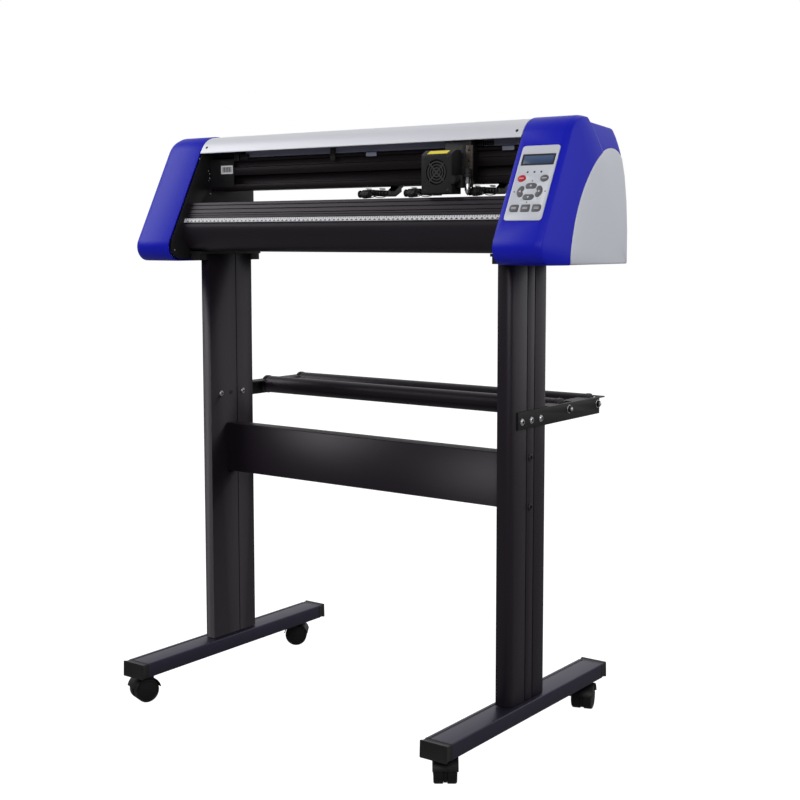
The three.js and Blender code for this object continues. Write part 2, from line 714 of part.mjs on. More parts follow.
function pinchRoller() {
  const { radius, half } = pinchWheel;
  const axle = 2.1;
  const end = 8.5;
  const profile = [[-end, 0], [-end, axle], [-half, axle], [-half, radius - 0.8], [-half + 0.8, radius],
    [half - 0.8, radius], [half, radius - 0.8], [half, axle], [end, axle], [end, 0]];
  return turned(profile, 18);
}

function addPinchUnits() {
  for (const [name, x] of Object.entries(pinchCentres)) {
    place(`${name}_pinch_arm`, pinchArm(), 'blackPlastic').position.x = x;
    place(`${name}_pinch_wheel`, pinchRoller(), 'rubber').position.set(x, pinchWheel.y, pinchWheel.z);
  }
}

// ---------------------------------------------------------------- carriage

function carriageBody() {
  const half = 27.5;
  const front = -61.5;
  const block = box(carriageX - half, carriageX + half, front, -21, 963, 1010);
  const tongue = box(carriageX - half + 3, carriageX + half - 3, -24, -11.5, 974, 985.5);
  const guidePost = box(carriageX + half - 1, 262.4, -57, -21, 963, 1022);
  const riser = box(210, 262.4, -42, -23, 1009, 1036);
  const overBeam = box(218, 260, -24, 1, 1032.5, 1036);
  const beltClamp = box(222, 256, -9, 0, 1023, 1033);
  const beltRoom = box(206, 276, -5.5, -3, 1020, 1030.2);
  return cut(join(block, tongue, guidePost, riser, overBeam, beltClamp), beltRoom);
}

function carriageCover() {
  const wall = 2;
  const half = 30.5;
  const side = [[-90, 943], [-88, 941], [-62.3, 941], [-62.3, 1014], [-77, 1014], [-90, 1006.5]];
  const inside = [[-88, 943], [-60, 943], [-60, 1012], [-76.5, 1012], [-88, 1005.4]];
  return cut(
    prismX(outline(side), carriageX - half, carriageX + half),
    prismX(outline(inside), carriageX - half + wall, carriageX + half - wall),
  );
}

function toolLift() {
  const strap = box(265.5, 278.5, -62, -58.5, 952, 1021);
  const slider = box(263, 269.5, -59, -40, 978, 1016);
  const block = box(256.8, 282, -78, -60.5, 951, 972);
  return cut(join(strap, slider, block), rodZ(5.4, 940, 990, toolX, toolY, 18));
}

function bladeHolder() {
  const profile = [[0, 938.5], [1.2, 938.5], [3.6, 942.5], [4.4, 946], [5, 946], [5, 974], [6.6, 974.5],
    [6.6, 981], [4, 983], [0, 983]];
  const points = profile.map(([radius, z]) => new THREE.Vector2(radius, z));
  return new THREE.LatheGeometry(points, 18).rotateX(Math.PI / 2).translate(toolX, toolY, 0);
}

function clampKnob() {
  const sides = 16;
  return join(rodY(7, -98, -90.6, 0, 0, sides), rodY(4, -91, -78.3, 0, 0, sides));
}

function addCarriage() {
  place('carriage_body', carriageBody(), 'blackSteel');
  place('carriage_cover', carriageCover(), 'blackPlastic');
  place('tool_lift', toolLift(), 'blackSteel');
  place('blade_holder', bladeHolder(), 'steel');
  place('clamp_knob', clampKnob(), 'blackPlastic').position.set(263, 0, 963.5);
}

// ---------------------------------------------------------------- control panel

// a curved bar with round ends that follows an arc of the arrow ring
function arrowOutline(middle, spread) {
  const { x, y, a, b, width } = arrowRing;
  const steps = 4;
  const spine = [];
  for (let i = 0; i <= steps; i += 1) {
    const angle = THREE.MathUtils.degToRad(middle - spread + 2 * spread * i / steps);
    spine.push(new THREE.Vector2(x + a * Math.cos(angle), y + b * Math.sin(angle)));
  }
  const points = [];
  const sweep = (centre, heading, from, to, count) => {
    for (let i = 0; i <= count; i += 1) {
      const angle = heading + from + (to - from) * i / Math.max(count, 1);
      points.push([centre.x + width / 2 * Math.cos(angle), centre.y + width / 2 * Math.sin(angle)]);
    }
  };
  const heading = (i) => {
    const next = spine[Math.min(i + 1, steps)].clone().sub(spine[Math.max(i - 1, 0)]);
    return Math.atan2(next.y, next.x);
  };
  for (let i = 1; i < steps; i += 1) sweep(spine[i], heading(i), -Math.PI / 2, -Math.PI / 2, 0);
  sweep(spine[steps], heading(steps), -Math.PI / 2, Math.PI / 2, 6);
  for (let i = steps - 1; i > 0; i -= 1) sweep(spine[i], heading(i), Math.PI / 2, Math.PI / 2, 0);
  sweep(spine[0], heading(0), Math.PI / 2, Math.PI * 1.5, 6);
  return points;
}

// bottom-row key: rounded rectangle whose outer side may be rounder
function keyOutline(cx, leftRound, rightRound) {
  const halfWide = 8;
  const halfTall = 6.2;
  const y = 54.5;
  const points = [];
  const corner = (sx, sy, round, first) => {
    for (let i = 0; i <= 4; i += 1) {
      const angle = (first + i / 4) * Math.PI / 2;
      points.push([cx + sx * (halfWide - round) + round * Math.cos(angle),
        y + sy * (halfTall - round) + round * Math.sin(angle)]);
    }
  };
  corner(1, 1, rightRound, 0);
  corner(-1, 1, leftRound, 1);
  corner(-1, -1, leftRound, 2);
  corner(1, -1, rightRound, 3);
  return points;
}

const buttons = {
  red_button: { finish: 'redButton', shape: ellipsePoints(-21.2, 108, 7.4, 5.8, 20) },
  menu_button: { finish: 'greyButton', shape: ellipsePoints(20.8, 107.5, 7.4, 5.8, 20) },
  up_button: { finish: 'greyButton', shape: arrowOutline(90, 17) },
  left_button: { finish: 'greyButton', shape: arrowOutline(180, 30) },
  right_button: { finish: 'greyButton', shape: arrowOutline(0, 30) },
  down_button: { finish: 'greyButton', shape: arrowOutline(270, 17) },
  first_key: { finish: 'greyButton', shape: keyOutline(-20.7, 5, 1.8) },
  second_key: { finish: 'greyButton', shape: keyOutline(0, 1.8, 1.8) },
  third_key: { finish: 'greyButton', shape: keyOutline(20.7, 1.8, 5) },
};

function addControlPanel() {
  const group = new THREE.Group();
  group.rotation.x = slopeAngle;
  group.position.set(panelX, slopeFoot[0], slopeFoot[1]);
  cutter.add(group);
  const clearance = 0.4;
  const holes = Object.values(buttons).map(({ shape }) => insetOutline(shape, -clearance));
  const { half, bottom, top, corner, back, face } = panel;
  holes.push(roundedRect(-screen.half, screen.half, screen.bottom, screen.top, 1.2, 2));
  const film = outline(roundedRect(-half, half, bottom, top, corner, 3), holes);
  place('keypad_panel', prismZ(film, back, face), 'keypadFilm', group);
  const lens = roundedRect(-screen.half + 0.4, screen.half - 0.4, screen.bottom + 0.4, screen.top - 0.4, 1, 2);
  place('display_window', prismZ(outline(lens), back, face - 0.4), 'screenGlass', group);
  for (const [name, { finish, shape }] of Object.entries(buttons)) {
    place(name, prismZ(outline(shape), buttonBack, buttonFace), finish, group);
  }
}

// ---------------------------------------------------------------- assembly

for (const [side, sign] of sides) {
  place(`${side}_foot_beam`, footBeam(), 'anodised').position.x = sign * columnX;
  const post = sign < 0 ? mirrored(column()) : column();
  place(`${side}_column`, post, 'anodised').position.x = sign * columnX;
}
place('crossbar', crossbarBar(), 'anodised');
placePair('head_bracket', headBracket(), 'blackSteel');
placePair('roller_bracket', rollerBracket(), 'blackSteel');
for (const [name, { y, z }] of Object.entries(mediaRollers)) {
  place(`${name}_media_roller`, mediaRoller(), 'anodised').position.set(mediaRollerX, y, z);
}
addCasters();

place('left_end_cover', mirrored(endCover()), 'bluePlastic');
place('right_end_cover', rightEndCover(), 'bluePlastic');
placePair('side_panel', sidePanel(), 'greyPlastic');
addSidePlates();
place('top_cover', topCover(), 'silverPaint');
place('guide_beam', guideBeam(), 'anodised');
place('platen', platenBody(), 'anodised');
place('ruler_strip', rulerStrip(), 'whiteScale');

place('grit_shaft', gritRoller(), 'steel').position.set(0, gritShaft.y, gritShaft.z);
place('drive_belt', driveBelt(), 'rubber');
addPulleys();
addMotors();
place('control_board', controlBoard(), 'circuitGreen');
place('power_inlet', powerInlet(), 'blackPlastic');
addPowerSwitch();
addPinchUnits();
addCarriage();
addControlPanel();

export default cutter;
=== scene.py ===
import json
import math

import bmesh
import bpy
from mathutils import Matrix, Vector


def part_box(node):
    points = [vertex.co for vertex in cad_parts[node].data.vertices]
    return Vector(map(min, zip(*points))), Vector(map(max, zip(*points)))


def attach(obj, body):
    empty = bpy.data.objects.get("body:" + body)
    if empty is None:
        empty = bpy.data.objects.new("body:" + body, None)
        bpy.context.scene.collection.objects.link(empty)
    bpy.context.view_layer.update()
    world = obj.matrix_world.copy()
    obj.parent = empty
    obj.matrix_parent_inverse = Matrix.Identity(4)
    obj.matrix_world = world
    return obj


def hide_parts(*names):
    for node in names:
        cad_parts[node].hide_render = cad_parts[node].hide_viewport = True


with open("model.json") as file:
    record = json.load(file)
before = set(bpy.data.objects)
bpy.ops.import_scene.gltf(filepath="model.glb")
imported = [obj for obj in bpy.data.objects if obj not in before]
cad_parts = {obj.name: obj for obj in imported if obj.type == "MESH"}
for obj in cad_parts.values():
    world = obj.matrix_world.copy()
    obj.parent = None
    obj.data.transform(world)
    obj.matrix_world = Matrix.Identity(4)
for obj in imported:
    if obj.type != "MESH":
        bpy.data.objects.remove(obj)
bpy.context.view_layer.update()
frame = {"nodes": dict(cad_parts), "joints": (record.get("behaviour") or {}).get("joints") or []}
scene = bpy.context.scene

# Lengths are in millimetres until finishPiece turns a mesh into metres.
# X runs to the operator's right, the operator stands on the -Y side, Z is up.


sideSigns = (("left", -1), ("right", 1))


# small tools

def boxOf(node):
    low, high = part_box(node)
    return low * 1000, high * 1000


def middleOf(node):
    low, high = boxOf(node)
    return (low + high) / 2


def jointNamed(name):
    return next(joint for joint in frame["joints"] if joint["name"] == name)


def jointPlace(name):
    return Vector(jointNamed(name)["pos_m"]) * 1000


def finishPiece(name, bm, finish, body="root", replaces=(), sharp=32, turnOut=True):
    if turnOut:
        bmesh.ops.recalc_face_normals(bm, faces=bm.faces)
    bmesh.ops.transform(bm, matrix=Matrix.Scale(0.001, 4), verts=bm.verts)
    mesh = bpy.data.meshes.new(name)
    bm.to_mesh(mesh)
    bm.free()
    piece = bpy.data.objects.new(name, mesh)
    scene.collection.objects.link(piece)
    looks = finish if isinstance(finish, (list, tuple)) else [finish]
    for look in looks:
        mesh.materials.append(finishes[look])
    mesh.polygons.foreach_set("use_smooth", [True] * len(mesh.polygons))
    mesh.set_sharp_from_angle(angle=math.radians(sharp))
    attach(piece, body)
    if replaces:
        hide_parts(*replaces)
    return piece


def roundEdges(bm, edges, offset, segments=2):
    return bmesh.ops.bevel(bm, geom=edges, offset=offset, offset_type="OFFSET", affect="EDGES",
                           segments=segments, profile=0.5, material=-1, clamp_overlap=True)


def facing(place, way):
    # turns +Z to look along way, from place
    return Matrix.Translation(Vector(place)) @ Vector(way).to_track_quat("Z", "Y").to_matrix().to_4x4()


def addBlock(bm, low, high, round=0, segments=2, turn=None):
    low, high = Vector(low), Vector(high)
    size = high - low
    grow = Matrix.Diagonal((size.x, size.y, size.z, 1))
    verts = bmesh.ops.create_cube(bm, size=1, matrix=grow)["verts"]
    if round:
        edges = list({edge for vert in verts for edge in vert.link_edges})
        made = roundEdges(bm, edges, round, segments)
        verts = list({vert for face in made["faces"] for vert in face.verts}
                     | {v for v in verts if v.is_valid})
    place = Matrix.Translation((low + high) / 2)
    bmesh.ops.transform(bm, matrix=place @ turn if turn else place, verts=verts)
    return verts


def addRod(bm, start, end, radius, segments=32, endRadius=None, round=0):
    start, end = Vector(start), Vector(end)
    along = end - start
    turn = along.to_track_quat("Z", "Y").to_matrix().to_4x4()
    place = Matrix.Translation((start + end) / 2) @ turn
    last = radius if endRadius is None else endRadius
    verts = bmesh.ops.create_cone(bm, cap_ends=True, segments=segments, radius1=radius, radius2=last,
                                  depth=along.length, matrix=place)["verts"]
    if round:
        rims = [edge for edge in {e for v in verts for e in v.link_edges}
                if any(len(face.verts) > 4 for face in edge.link_faces)]
        roundEdges(bm, rims, round)


def addTurned(bm, profile, place, steps=48):
    # profile lists (distance along the axis, radius); the axis is Z before place turns it
    verts = [bm.verts.new((radius, 0, along)) for along, radius in profile]
    edges = [bm.edges.new(pair) for pair in zip(verts, verts[1:])]
    if (profile[0][1] > 0 and profile[-1][1] > 0):
        edges.append(bm.edges.new((verts[-1], verts[0])))
    before = set(bm.verts) - set(verts)
    bmesh.ops.spin(bm, geom=verts + edges, cent=(0, 0, 0), axis=(0, 0, 1), angle=math.tau, steps=steps,
                   use_merge=True)
    made = [vert for vert in bm.verts if vert not in before]
    bmesh.ops.remove_doubles(bm, verts=made, dist=1e-4)
    made = [vert for vert in bm.verts if vert not in before]
    bmesh.ops.transform(bm, matrix=place, verts=made)


alongX = Matrix.Rotation(math.pi / 2, 4, "Y")
alongY = Matrix.Rotation(-math.pi / 2, 4, "X")


def addPrism(bm, outline, axis, start, end):
    # outline is in (Y, Z) for a prism along X, (X, Z) along Y and (X, Y) along Z
    lift = {"X": lambda a, b: (start, a, b), "Y": lambda a, b: (a, start, b), "Z": lambda a, b: (a, b, start)}
    way = {"X": Vector((1, 0, 0)), "Y": Vector((0, 1, 0)), "Z": Vector((0, 0, 1))}
    face = bm.faces.new([bm.verts.new(lift[axis](a, b)) for a, b in outline])
    made = bmesh.ops.extrude_face_region(bm, geom=[face])["geom"]
    verts = [item for item in made if isinstance(item, bmesh.types.BMVert)]
    bmesh.ops.translate(bm, vec=way[axis] * (end - start), verts=verts)
    return verts + list(face.verts)


def roundedOutline(corners, steps=6):
    # corners are (a, b, radius); each is replaced by an arc that meets both sides
    points = []
    for i, (a, b, radius) in enumerate(corners):
        here = Vector((a, b))
        before = (Vector(corners[i - 1][:2]) - here).normalized()
        after = (Vector(corners[(i + 1) % len(corners)][:2]) - here).normalized()
        half = before.angle(after) / 2
        if radius == 0 or abs(half - math.pi / 2) < 1e-3:
            points.append((a, b))
            continue
        reach = radius / math.tan(half)
        centre = here + (before + after).normalized() * (radius / math.sin(half))
        first = here + before * reach - centre
        swing = first.angle_signed(here + after * reach - centre)
        for k in range(steps + 1):
            turned = first.copy()
            turned.rotate(Matrix.Rotation(-swing * k / steps, 2))
            points.append(tuple(centre + turned))
    return points


def roundedRectangle(halfWide, halfTall, radius, steps):
    return roundedOutline([(-halfWide, -halfTall, radius), (halfWide, -halfTall, radius),
                           (halfWide, halfTall, radius), (-halfWide, halfTall, radius)], steps)


def insetOutline(points, distance):
    moved = []
    for i, point in enumerate(points):
        here = Vector(point)
        before = (here - Vector(points[i - 1])).normalized()
        after = (Vector(points[(i + 1) % len(points)]) - here).normalized()
        inward = Vector((-before.y - after.y, before.x + after.x)).normalized()
        stretch = distance / max(0.5, inward.dot(Vector((-before.y, before.x))))
        moved.append(tuple(here + inward * stretch))
    return moved


def curveThrough(points, steps=5):
    # a smooth open curve through the points
    path = [Vector(p) for p in points]
    ends = [path[0] * 2 - path[1]] + path + [path[-1] * 2 - path[-2]]
    fine = []
    for a, b, c, d in zip(ends, ends[1:], ends[2:], ends[3:]):
        for k in range(steps):
            t = k / steps
            fine.append((b * 2 + (c - a) * t + (a * 2 - b * 5 + c * 4 - d) * t * t
                         + (b * 3 - a - c * 3 + d) * t ** 3) / 2)
    return fine + [path[-1]]


def addRings(bm, rings, capStart=True, capEnd=True):
    # a skin through rings of equal length
    loops = []
    for ring in rings:
        verts = [bm.verts.new(point) for point in ring]
        loops.append([bm.edges.new((verts[i - 1], verts[i])) for i in range(len(verts))])
    for first, second in zip(loops, loops[1:]):
        bmesh.ops.bridge_loops(bm, edges=first + second)
    for loop, wanted in ((loops[0], capStart), (loops[-1], capEnd)):
        if wanted:
            bmesh.ops.edgeloop_fill(bm, edges=loop)


def carve(piece, cutters):
    # cuts closed shapes out of a piece, then throws the cutters away
    for bm in cutters:
        bmesh.ops.recalc_face_normals(bm, faces=bm.faces)
        bmesh.ops.transform(bm, matrix=Matrix.Scale(0.001, 4), verts=bm.verts)
        mesh = bpy.data.meshes.new("cutter")
        bm.to_mesh(mesh)
        bm.free()
        cutter = bpy.data.objects.new("cutter", mesh)
        scene.collection.objects.link(cutter)
        cut = piece.modifiers.new("cut", "BOOLEAN")
        cut.operation = "DIFFERENCE"
        cut.solver = "EXACT"
        cut.object = cutter
        bpy.context.view_layer.update()
        evaluated = piece.evaluated_get(bpy.context.evaluated_depsgraph_get())
        result = bpy.data.meshes.new_from_object(evaluated)
        piece.modifiers.clear()
        old = piece.data
        piece.data = result
        bpy.data.meshes.remove(old)
        bpy.data.objects.remove(cutter)
    piece.data.name = piece.name
    piece.data.set_sharp_from_angle(angle=math.radians(32))
    return piece


def refined(node, finish, round=0.5, segments=2, angle=38, body="root"):
    # a copy of a CAD node with its flat faces joined up and its edges rounded
    bm = bmesh.new()
    bm.from_mesh(frame["nodes"][node].data)
    bmesh.ops.transform(bm, matrix=Matrix.Scale(1000, 4), verts=bm.verts)
    bmesh.ops.remove_doubles(bm, verts=bm.verts, dist=0.01)
    bmesh.ops.dissolve_limit(bm, angle_limit=math.radians(1), verts=bm.verts, edges=bm.edges)
    edges = [e for e in bm.edges if len(e.link_faces) == 2 and e.calc_face_angle(0) > math.radians(angle)]
    roundEdges(bm, edges, round, segments)
    return finishPiece(node + "_body", bm, finish, body, replaces=[node], sharp=38, turnOut=False)


def onCircle(radius, k, count):
    turn = math.tau * k / count
    return Vector((radius * math.cos(turn), radius * math.sin(turn), 0))


def wire(bm, points, radius, sides=8):
    # a round wire along a path
    path = [Vector(p) for p in points]
    rings = []
    for i, here in enumerate(path):
        along = (path[min(i + 1, len(path) - 1)] - path[max(i - 1, 0)]).normalized()
        turn = along.to_track_quat("Z", "Y").to_matrix()
        rings.append([here + turn @ onCircle(radius, k, sides) for k in range(sides)])
    addRings(bm, rings)


def coil(start, end, radius, turns, perTurn=10):
    start, end = Vector(start), Vector(end)
    turn = (end - start).to_track_quat("Z", "Y").to_matrix()
    count = turns * perTurn
    return [start + (end - start) * (i / count) + turn @ onCircle(radius, i, perTurn)
            for i in range(count + 1)]


# finishes

def addNode(nodes, kind, values=None):
    node = nodes.new("ShaderNode" + kind)
    for name, value in (values or {}).items():
        node.inputs[name].default_value = value
    return node


def newMaterial(name, spec):
    # fine grain sets the roughness and bump, broad patches move between colour and shade
    material = bpy.data.materials.new(name)
    material.use_nodes = True
    nodes, links = material.node_tree.nodes, material.node_tree.links
    shader = nodes["Principled BSDF"]
    place = addNode(nodes, "TexCoord")
    scale = addNode(nodes, "Mapping", {"Scale": spec.get("grain", (60, 60, 60))})
    links.new(place.outputs["Object"], scale.inputs["Vector"])
    fine = addNode(nodes, "TexNoise", {"Scale": spec.get("fineness", 6), "Detail": 5})
    links.new(scale.outputs["Vector"], fine.inputs["Vector"])
    broad = addNode(nodes, "TexNoise", {"Scale": spec.get("patches", 5), "Detail": 3})
    links.new(place.outputs["Object"], broad.inputs["Vector"])
    blend = nodes.new("ShaderNodeMix")
    blend.data_type = "RGBA"
    blend.inputs["A"].default_value = (*spec["colour"], 1)
    blend.inputs["B"].default_value = (*spec.get("shade", [c * 0.8 for c in spec["colour"]]), 1)
    links.new(broad.outputs["Fac"], blend.inputs["Factor"])
    links.new(blend.outputs["Result"], shader.inputs["Base Color"])
    rough = addNode(nodes, "MapRange", {"To Min": spec["rough"][0], "To Max": spec["rough"][1]})
    links.new(fine.outputs["Fac"], rough.inputs["Value"])
    links.new(rough.outputs["Result"], shader.inputs["Roughness"])
    bump = addNode(nodes, "Bump", {"Strength": spec.get("bump", 0.1), "Distance": spec.get("depth", 0.0002)})
    links.new(fine.outputs["Fac"], bump.inputs["Height"])
    links.new(bump.outputs["Normal"], shader.inputs["Normal"])
    for socket, key, usual in (("Metallic", "metal", 0), ("Specular IOR Level", "specular", 0.5)):
        shader.inputs[socket].default_value = spec.get(key, usual)
    return material


def look(colour, shade, rough, **more):
    return {"colour": colour, "shade": shade, "rough": rough, **more}


anodised = look((0.019, 0.013, 0.021), (0.014, 0.010, 0.016), (0.36, 0.5), metal=0.3, specular=0.4,
                bump=0.14, depth=0.00006)
# the beam's copy of the anodised finish is darker as painted shade, for the beam sitting under the top cover,
# and reflects less
beamShadedBlack = dict(anodised, colour=(0.012, 0.008, 0.010), shade=(0.008, 0.006, 0.008), specular=0.22)
finishSpecs = {
    "anodisedAcross": dict(anodised, grain=(1.5, 260, 260)),
    "anodisedBeam": dict(beamShadedBlack, grain=(1.5, 260, 260)),
    "anodisedDeep": dict(anodised, colour=(0.060, 0.055, 0.088), shade=(0.048, 0.044, 0.072), metal=0.9,
                         grain=(260, 1.5, 260)),
    "anodisedUp": dict(anodised, grain=(260, 260, 1.5)),
    "blackSteel": look((0.008, 0.0075, 0.009), (0.012, 0.011, 0.013), (0.42, 0.6), specular=0.3,
                       grain=(900, 900, 900), bump=0.25, depth=0.0001),
    "wornSteel": look((0.12, 0.095, 0.08), (0.06, 0.05, 0.047), (0.35, 0.6), metal=0.8, grain=(500, 500, 80),
                      patches=60, bump=0.2),
    "blackPlastic": look((0.009, 0.009, 0.010), (0.013, 0.013, 0.014), (0.42, 0.6), specular=0.35,
                         grain=(1200, 1200, 1200), bump=0.3, depth=0.00012),
    "ventPlastic": look((0.030, 0.030, 0.032), (0.038, 0.038, 0.040), (0.4, 0.55)),
    "casterNylon": look((0.006, 0.006, 0.007), (0.009, 0.009, 0.011), (0.4, 0.55), specular=0.25,
                        grain=(700, 700, 700), bump=0.15),
    "bluePlastic": look((0.007, 0.012, 0.55), (0.009, 0.012, 0.47), (0.34, 0.46), grain=(900, 900, 900),
                        bump=0.12, depth=0.00008, specular=0.18),
    "silverPaint": look((0.78, 0.79, 0.85), (0.73, 0.74, 0.80), (0.38, 0.5), metal=0.15, grain=(2, 500, 500),
                        bump=0.08, depth=0.00005),
    "greyPlastic": look((0.66, 0.68, 0.75), (0.61, 0.63, 0.70), (0.34, 0.46), grain=(1100, 1100, 1100),
                        bump=0.14, depth=0.00008),
    "keypadFilm": look((0.68, 0.70, 0.76), (0.65, 0.67, 0.73), (0.30, 0.40), grain=(1500, 1500, 1500),
                       bump=0.1, depth=0.00004),
    "redKey": look((0.62, 0.012, 0.022), (0.52, 0.01, 0.02), (0.3, 0.42)),
    "greyKey": look((0.14, 0.14, 0.155), (0.11, 0.11, 0.125), (0.34, 0.5)),
    "keyPrint": look((0.72, 0.72, 0.75), (0.66, 0.66, 0.69), (0.5, 0.6)),
    "panelPrint": look((0.10, 0.10, 0.12), (0.08, 0.08, 0.10), (0.5, 0.6)),
    "brightSteel": look((0.60, 0.60, 0.62), (0.48, 0.48, 0.50), (0.18, 0.32), metal=1, grain=(400, 400, 400),
                        bump=0.1),
    "zincScrew": look((0.74, 0.74, 0.76), (0.62, 0.62, 0.64), (0.22, 0.36), metal=1, grain=(700, 700, 700),
                      bump=0.1),
    "blackScrew": look((0.02, 0.02, 0.022), (0.03, 0.03, 0.032), (0.25, 0.4), metal=0.6),
    "rubber": look((0.011, 0.011, 0.011), (0.018, 0.018, 0.018), (0.6, 0.8), grain=(900, 900, 900), bump=0.3),
    "ribbonGrey": look((0.30, 0.31, 0.42), (0.21, 0.22, 0.31), (0.2, 0.34), grain=(3, 900, 900), bump=0.3,
                       depth=0.0002),
    "cableBlack": look((0.008, 0.008, 0.009), (0.012, 0.012, 0.013), (0.35, 0.5)),
    "yellowLabel": look((0.92, 0.74, 0.012), (0.86, 0.68, 0.012), (0.35, 0.45)),
    "paleLabel": look((0.80, 0.80, 0.82), (0.74, 0.74, 0.77), (0.35, 0.45)),
    "scaleWhite": look((0.70, 0.70, 0.73), (0.64, 0.64, 0.68), (0.3, 0.42)),
    "scaleInk": look((0.03, 0.03, 0.035), (0.05, 0.05, 0.055), (0.4, 0.5)),
    "boardGreen": look((0.01, 0.10, 0.035), (0.008, 0.07, 0.025), (0.3, 0.45)),
    "lampOff": look((0.012, 0.012, 0.014), (0.009, 0.009, 0.010), (0.4, 0.5)),
}
finishes = {name: newMaterial(name, spec) for name, spec in finishSpecs.items()}


def screenMaterial():
    # a liquid crystal window: blue-grey, with a painted reflection that makes it lighter towards its top
    settings = {"low": (0.030, 0.050, 0.115), "high": (0.10, 0.15, 0.27)}
    material = newMaterial("screenGlass", {"colour": settings["low"], "rough": (0.22, 0.3), "bump": 0.0,
                                           "specular": 0.25})
    nodes, links = material.node_tree.nodes, material.node_tree.links
    low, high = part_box("display_window")
    place = addNode(nodes, "TexCoord")
    split = addNode(nodes, "SeparateXYZ")
    links.new(place.outputs["Object"], split.inputs["Vector"])
    climb = addNode(nodes, "MapRange", {"From Min": low.z, "From Max": high.z})
    links.new(split.outputs["Z"], climb.inputs["Value"])
    # painted reflection: the colour blends from the low to the high blue-grey up the window
    paintedReflection = nodes.new("ShaderNodeMix")
    paintedReflection.data_type = "RGBA"
    paintedReflection.inputs["A"].default_value = (*settings["low"], 1)
    paintedReflection.inputs["B"].default_value = (*settings["high"], 1)
    links.new(climb.outputs["Result"], paintedReflection.inputs["Factor"])
    links.new(paintedReflection.outputs["Result"], nodes["Principled BSDF"].inputs["Base Color"])
    return material


finishes["screenGlass"] = screenMaterial()
print("finishes ready")


# screws, shared by many pieces

def addScrew(bm, place, way, radius=3, height=1.6):
    # a domed head whose cross recess is a thin dark sheet of painted shade, looking along way
    turn = facing(place, way)
    addTurned(bm, [(0, 0), (0, radius), (height * 0.35, radius), (height * 0.75, radius * 0.8),
                   (height, radius * 0.42), (height, 0)], turn, 20)
    # the cross recess is a thin black sheet on the head: painted shade
    arm, bar = radius * 0.46, radius * 0.11
    for spin in (0, math.pi / 2):
        twist = turn @ Matrix.Rotation(spin + 0.4, 4, "Z") @ Matrix.Translation((0, 0, height + 0.02))
        thin = twist @ Matrix.Diagonal((arm * 2, bar * 2, 0.06, 1))
        verts = bmesh.ops.create_cube(bm, size=1, matrix=thin)["verts"]
        for face in {f for v in verts for f in v.link_faces}:
            face.material_index = 1


def screwGroup(name, screws, finish, radius, height, body="root"):
    bm = bmesh.new()
    for place, way in screws:
        addScrew(bm, place, way, radius, height)
    # the second finish is the painted shade of the cross recess
    return finishPiece(name, bm, [finish, "cableBlack"], body)


def ringScrews(name, screws, radius):
    # a bright washer-headed screw with a deep socket whose inside is painted dark as shade
    bm = bmesh.new()
    for place, way in screws:
        turn = facing(place, way)
        addTurned(bm, [(0, 0), (0, radius), (0.8, radius), (1.2, radius - 0.4), (1.2, radius - 1.2),
                       (2.2, radius - 1.5), (2.6, radius - 2.1), (2.6, radius * 0.45), (1.0, radius * 0.42),
                       (1.0, 0)], turn, 28)
    piece = finishPiece(name, bm, ["zincScrew", "cableBlack"])
    # socket faces take the black finish: painted shade inside the recess
    for face in piece.data.polygons:
        spot = min((face.center * 1000 - Vector(place)).length for place, way in screws)
        face.material_index = 1 if spot < radius * 0.47 + 0.4 else 0
    return piece


# stand: columns, crossbar, feet

footShape = {"cap": 17, "topGroove": 9, "grooveWide": 4.4, "grooveDeep": 5}
casterNames = ["left_front", "left_rear", "right_front", "right_rear"]


def buildColumns():
    screwDrops = {"upper": 499, "lower": 414}
    for side, sign in sideSigns:
        refined(side + "_column", "anodisedUp")
        low, high = boxOf(side + "_column")
        outer = low.x if sign < 0 else high.x
        inner = high.x if sign < 0 else low.x
        plugs = bmesh.new()
        for z in screwDrops.values():
            addTurned(plugs, [(0, 0), (0, 6.2), (1.4, 6.0), (1.9, 5.2), (1.9, 3.4), (0.4, 3.2), (0.4, 0)],
                      Matrix.Translation((outer, 0, z)) @ (alongX if sign > 0 else alongX.inverted()), 28)
        finishPiece(side + "_column_socket_screws", plugs, "blackScrew")
        ringScrews(side + "_column_inner_screws", [((inner, y, 565), (-sign, 0, 0)) for y in (-32.6, 29)],
                   5.2)
        # a dark disc on the inner face: painted shade standing in for an open hole
        bm = bmesh.new()
        addTurned(bm, [(0, 0), (0, 4.2), (0.5, 3.8), (0.5, 0)],
                  Matrix.Translation((inner, -4.6, 565.6)) @ (alongX if sign < 0 else alongX.inverted()), 24)
        finishPiece(side + "_column_hole_shade", bm, "cableBlack")
    refined("crossbar", "anodisedAcross", 0.8, 2)


def buildFeet():
    for side in ("left", "right"):
        low, high = boxOf(side + "_foot_beam")
        cap, groove = footShape["cap"], footShape["topGroove"]
        gx = low.x + 1 + groove
        half = footShape["grooveWide"] / 2
        top = high.z - 0.6
        left, right, under = low.x + 1, high.x - 1, top - footShape["grooveDeep"]
        outline = roundedOutline([(left, low.z + 0.6, 2), (right, low.z + 0.6, 2), (right, top, 2),
                                  (gx + half, top, 0.5), (gx + half, under, 0), (gx - half, under, 0),
                                  (gx - half, top, 0.5), (left, top, 2)], 4)
        bm = bmesh.new()
        addPrism(bm, outline, "Y", low.y + cap - 2, high.y - cap + 2)
        finishPiece(side + "_foot_bar", bm, "anodisedDeep", replaces=[side + "_foot_beam"])
        # a black strip along the floor of the groove: painted shade that darkens the groove
        strip = bmesh.new()
        addBlock(strip, (gx - half + 0.1, low.y + cap, top - 4.6), (gx + half - 0.1, high.y - cap, top - 0.8))
        finishPiece(side + "_foot_groove_shade_strip", strip, "cableBlack")
        for end, y, way in (("front", low.y, 1), ("rear", high.y, -1)):
            bm = bmesh.new()
            footCap(bm, low, high, y, way)
            finishPiece(f"{side}_{end}_foot_cap", bm, "blackPlastic", replaces=[side + "_foot_beam"],
                        sharp=40)


